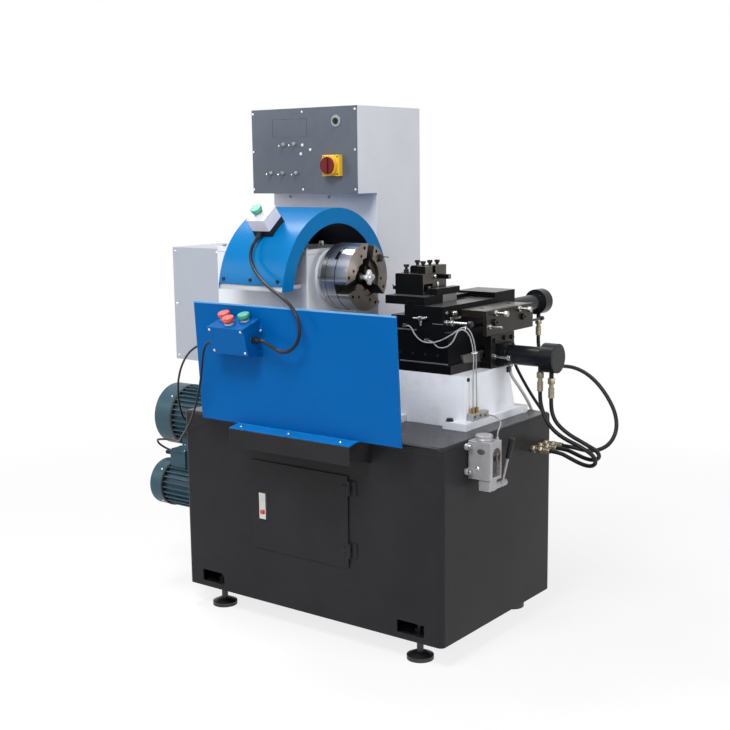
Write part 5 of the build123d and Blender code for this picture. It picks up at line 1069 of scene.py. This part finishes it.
run_cord("hose_1", HOSE, 0.0125, [
    (0.690, 0.105, 0.742), (0.690, 0.105, 0.715), (0.699, 0.102, 0.686), (0.715, 0.097, 0.658),
    (0.738, 0.091, 0.634), (0.768, 0.085, 0.617), (0.801, 0.080, 0.605), (0.831, 0.077, 0.597),
    (0.858, 0.078, 0.585), (0.876, 0.087, 0.571), (0.881, 0.101, 0.552), (0.871, 0.114, 0.534),
    (0.850, 0.122, 0.525), (0.817, 0.127, 0.528), (0.780, 0.130, 0.540), (0.745, 0.132, 0.552),
    (0.712, 0.132, 0.552)])
run_cord("hose_2", HOSE, 0.0125, [
    (0.728, 0.105, 0.725), (0.728, 0.105, 0.700), (0.732, 0.106, 0.674), (0.745, 0.107, 0.649),
    (0.769, 0.108, 0.629), (0.798, 0.108, 0.613), (0.824, 0.110, 0.602), (0.851, 0.113, 0.589),
    (0.868, 0.123, 0.578), (0.874, 0.138, 0.561), (0.865, 0.151, 0.545), (0.845, 0.157, 0.536),
    (0.813, 0.165, 0.536), (0.778, 0.172, 0.544), (0.745, 0.176, 0.553), (0.712, 0.176, 0.553)])
run_cord("hose_3", HOSE, 0.0125, [
    (0.460, 0.508, 0.8495), (0.460, 0.508, 0.826), (0.464, 0.506, 0.804), (0.473, 0.5015, 0.784),
    (0.488, 0.494, 0.769), (0.510, 0.483, 0.760), (0.540, 0.467, 0.757), (0.585, 0.443, 0.762),
    (0.640, 0.412, 0.768), (0.697, 0.381, 0.762), (0.752, 0.354, 0.741), (0.806, 0.324, 0.704),
    (0.849, 0.297, 0.658), (0.866, 0.273, 0.610), (0.855, 0.250, 0.570), (0.825, 0.232, 0.549),
    (0.785, 0.219, 0.546), (0.747, 0.212, 0.554), (0.712, 0.212, 0.554),
], bends=HOSE_3_BEND)
run_cord("hose_4", HOSE, 0.010, [
    (0.460, 0.318, 0.8795), (0.460, 0.318, 0.856), (0.462, 0.318, 0.828), (0.468, 0.319, 0.802),
    (0.478, 0.320, 0.778), (0.491, 0.321, 0.753), (0.507, 0.323, 0.726), (0.524, 0.326, 0.698),
    (0.541, 0.330, 0.671), (0.558, 0.335, 0.646), (0.574, 0.339, 0.622), (0.587, 0.339, 0.601),
    (0.595, 0.330, 0.584), (0.599, 0.316, 0.572), (0.600, 0.301, 0.567), (0.600, 0.284, 0.567),
], bends=HOSE_4_BEND)
run_cord("button_cable", CABLE, 0.0105, [
    (-0.060, -0.31165, 1.21104), (-0.060, -0.32719, 1.19845), (-0.061, -0.345, 1.178),
    (-0.049, -0.366, 1.150), (-0.017, -0.389, 1.122), (0.038, -0.417, 1.091), (0.103, -0.443, 1.066),
    (0.168, -0.465, 1.047), (0.220, -0.479, 1.017), (0.245, -0.487, 0.972), (0.240, -0.489, 0.928),
    (0.208, -0.489, 0.898), (0.166, -0.487, 0.892), (0.129, -0.485, 0.908), (0.100, -0.485, 0.920),
    (0.080, -0.485, 0.920)])
run_cord("motor_cable", CABLE, 0.007, [
    (-0.110, -0.428, 0.895), (-0.110, -0.410, 0.895), (-0.117, -0.394, 0.8945), (-0.129, -0.382, 0.8935),
    (-0.146, -0.375, 0.892), (-0.170, -0.374, 0.888), (-0.195, -0.377, 0.884), (-0.235, -0.383, 0.876),
    (-0.285, -0.381, 0.857), (-0.335, -0.361, 0.831), (-0.385, -0.333, 0.798), (-0.435, -0.302, 0.757),
    (-0.480, -0.270, 0.706), (-0.512, -0.240, 0.661), (-0.535, -0.215, 0.625), (-0.549, -0.195, 0.594),
    (-0.556, -0.180, 0.569), (-0.554, -0.173, 0.559), (-0.5485, -0.167, 0.5505), (-0.539, -0.1625, 0.544),
    (-0.528, -0.160, 0.541), (-0.512, -0.160, 0.541)])
run_cord("pump_cable", CABLE, 0.007, [
    (-0.087, -0.497, 0.903), (-0.102, -0.497, 0.903), (-0.117, -0.497, 0.895), (-0.128, -0.496, 0.878),
    (-0.135, -0.495, 0.856), (-0.143, -0.492, 0.822), (-0.156, -0.486, 0.780), (-0.176, -0.478, 0.735),
    (-0.206, -0.464, 0.686), (-0.250, -0.439, 0.638), (-0.306, -0.409, 0.592), (-0.375, -0.367, 0.551),
    (-0.435, -0.311, 0.522), (-0.505, -0.268, 0.507), (-0.568, -0.246, 0.499), (-0.613, -0.240, 0.492),
    (-0.630, -0.233, 0.487), (-0.640, -0.224, 0.4795), (-0.646, -0.213, 0.469), (-0.646, -0.204, 0.461),
    (-0.642, -0.1955, 0.4535), (-0.635, -0.188, 0.447), (-0.6255, -0.183, 0.4425),
    (-0.614, -0.180, 0.440), (-0.596, -0.180, 0.440)])
run_cord("oil_tube_1", OIL_TUBE, 0.004, [
    (0.571, -0.066, 0.706), (0.571, -0.066, 0.740), (0.573, -0.071, 0.782), (0.577, -0.078, 0.826),
    (0.580, -0.085, 0.868), (0.580, -0.094, 0.904), (0.577, -0.103, 0.930), (0.569, -0.111, 0.948),
    (0.555, -0.117, 0.951), (0.540, -0.123, 0.941), (0.519, -0.129, 0.925), (0.494, -0.134, 0.911),
    (0.464, -0.137, 0.900), (0.433, -0.138, 0.899), (0.407, -0.135, 0.909), (0.389, -0.131, 0.926),
    (0.379, -0.127, 0.939), (0.368, -0.1255, 0.944), (0.358, -0.1255, 0.944),
], bends=OIL_TUBE_BEND)
run_cord("oil_tube_2", OIL_TUBE, 0.004, [
    (0.571, -0.086, 0.706), (0.571, -0.086, 0.740), (0.573, -0.089, 0.782), (0.577, -0.093, 0.826),
    (0.580, -0.098, 0.868), (0.580, -0.105, 0.898), (0.578, -0.111, 0.918), (0.575, -0.116, 0.931),
    (0.568, -0.121, 0.941), (0.558, -0.126, 0.9455), (0.548, -0.130, 0.942), (0.542, -0.133, 0.931),
    (0.536, -0.135, 0.914), (0.523, -0.138, 0.898), (0.503, -0.138, 0.888), (0.482, -0.135, 0.887),
    (0.466, -0.131, 0.893), (0.454, -0.1255, 0.903), (0.440, -0.1255, 0.903),
], bends=OIL_TUBE_BEND)
forge("tube_ties", [
    turned((564, -118, 946.5), (-0.85, -0.5, 0.15), [(-1.4, 7.4), (1.4, 7.4)]),
    turned((580, -92.5, 874), (0, -0.2, 1), [(-1.4, 9.0), (1.4, 9.0)]),
], pale_plastic, "pale_plastic", "long_slide")
run_cord("oil_feed_tube", OIL_TUBE, 0.004, [
    (0.716, -0.188, 0.656), (0.716, -0.188, 0.669), (0.718, -0.179, 0.683), (0.713, -0.163, 0.693),
    (0.692, -0.140, 0.696), (0.664, -0.106, 0.692), (0.641, -0.073, 0.686), (0.623, -0.047, 0.6815),
    (0.611, -0.038, 0.680), (0.600, -0.034, 0.680), (0.586, -0.034, 0.680)])
run_cord("drain_conduit", CONDUIT, 0.010, [
    (0.548, 0.170, 0.795), (0.548, 0.170, 0.779), (0.549, 0.181, 0.760), (0.551, 0.205, 0.737),
    (0.556, 0.236, 0.703), (0.562, 0.266, 0.664), (0.567, 0.287, 0.627), (0.570, 0.297, 0.594),
    (0.572, 0.294, 0.568), (0.573, 0.281, 0.554), (0.573, 0.268, 0.550), (0.573, 0.258, 0.550)])
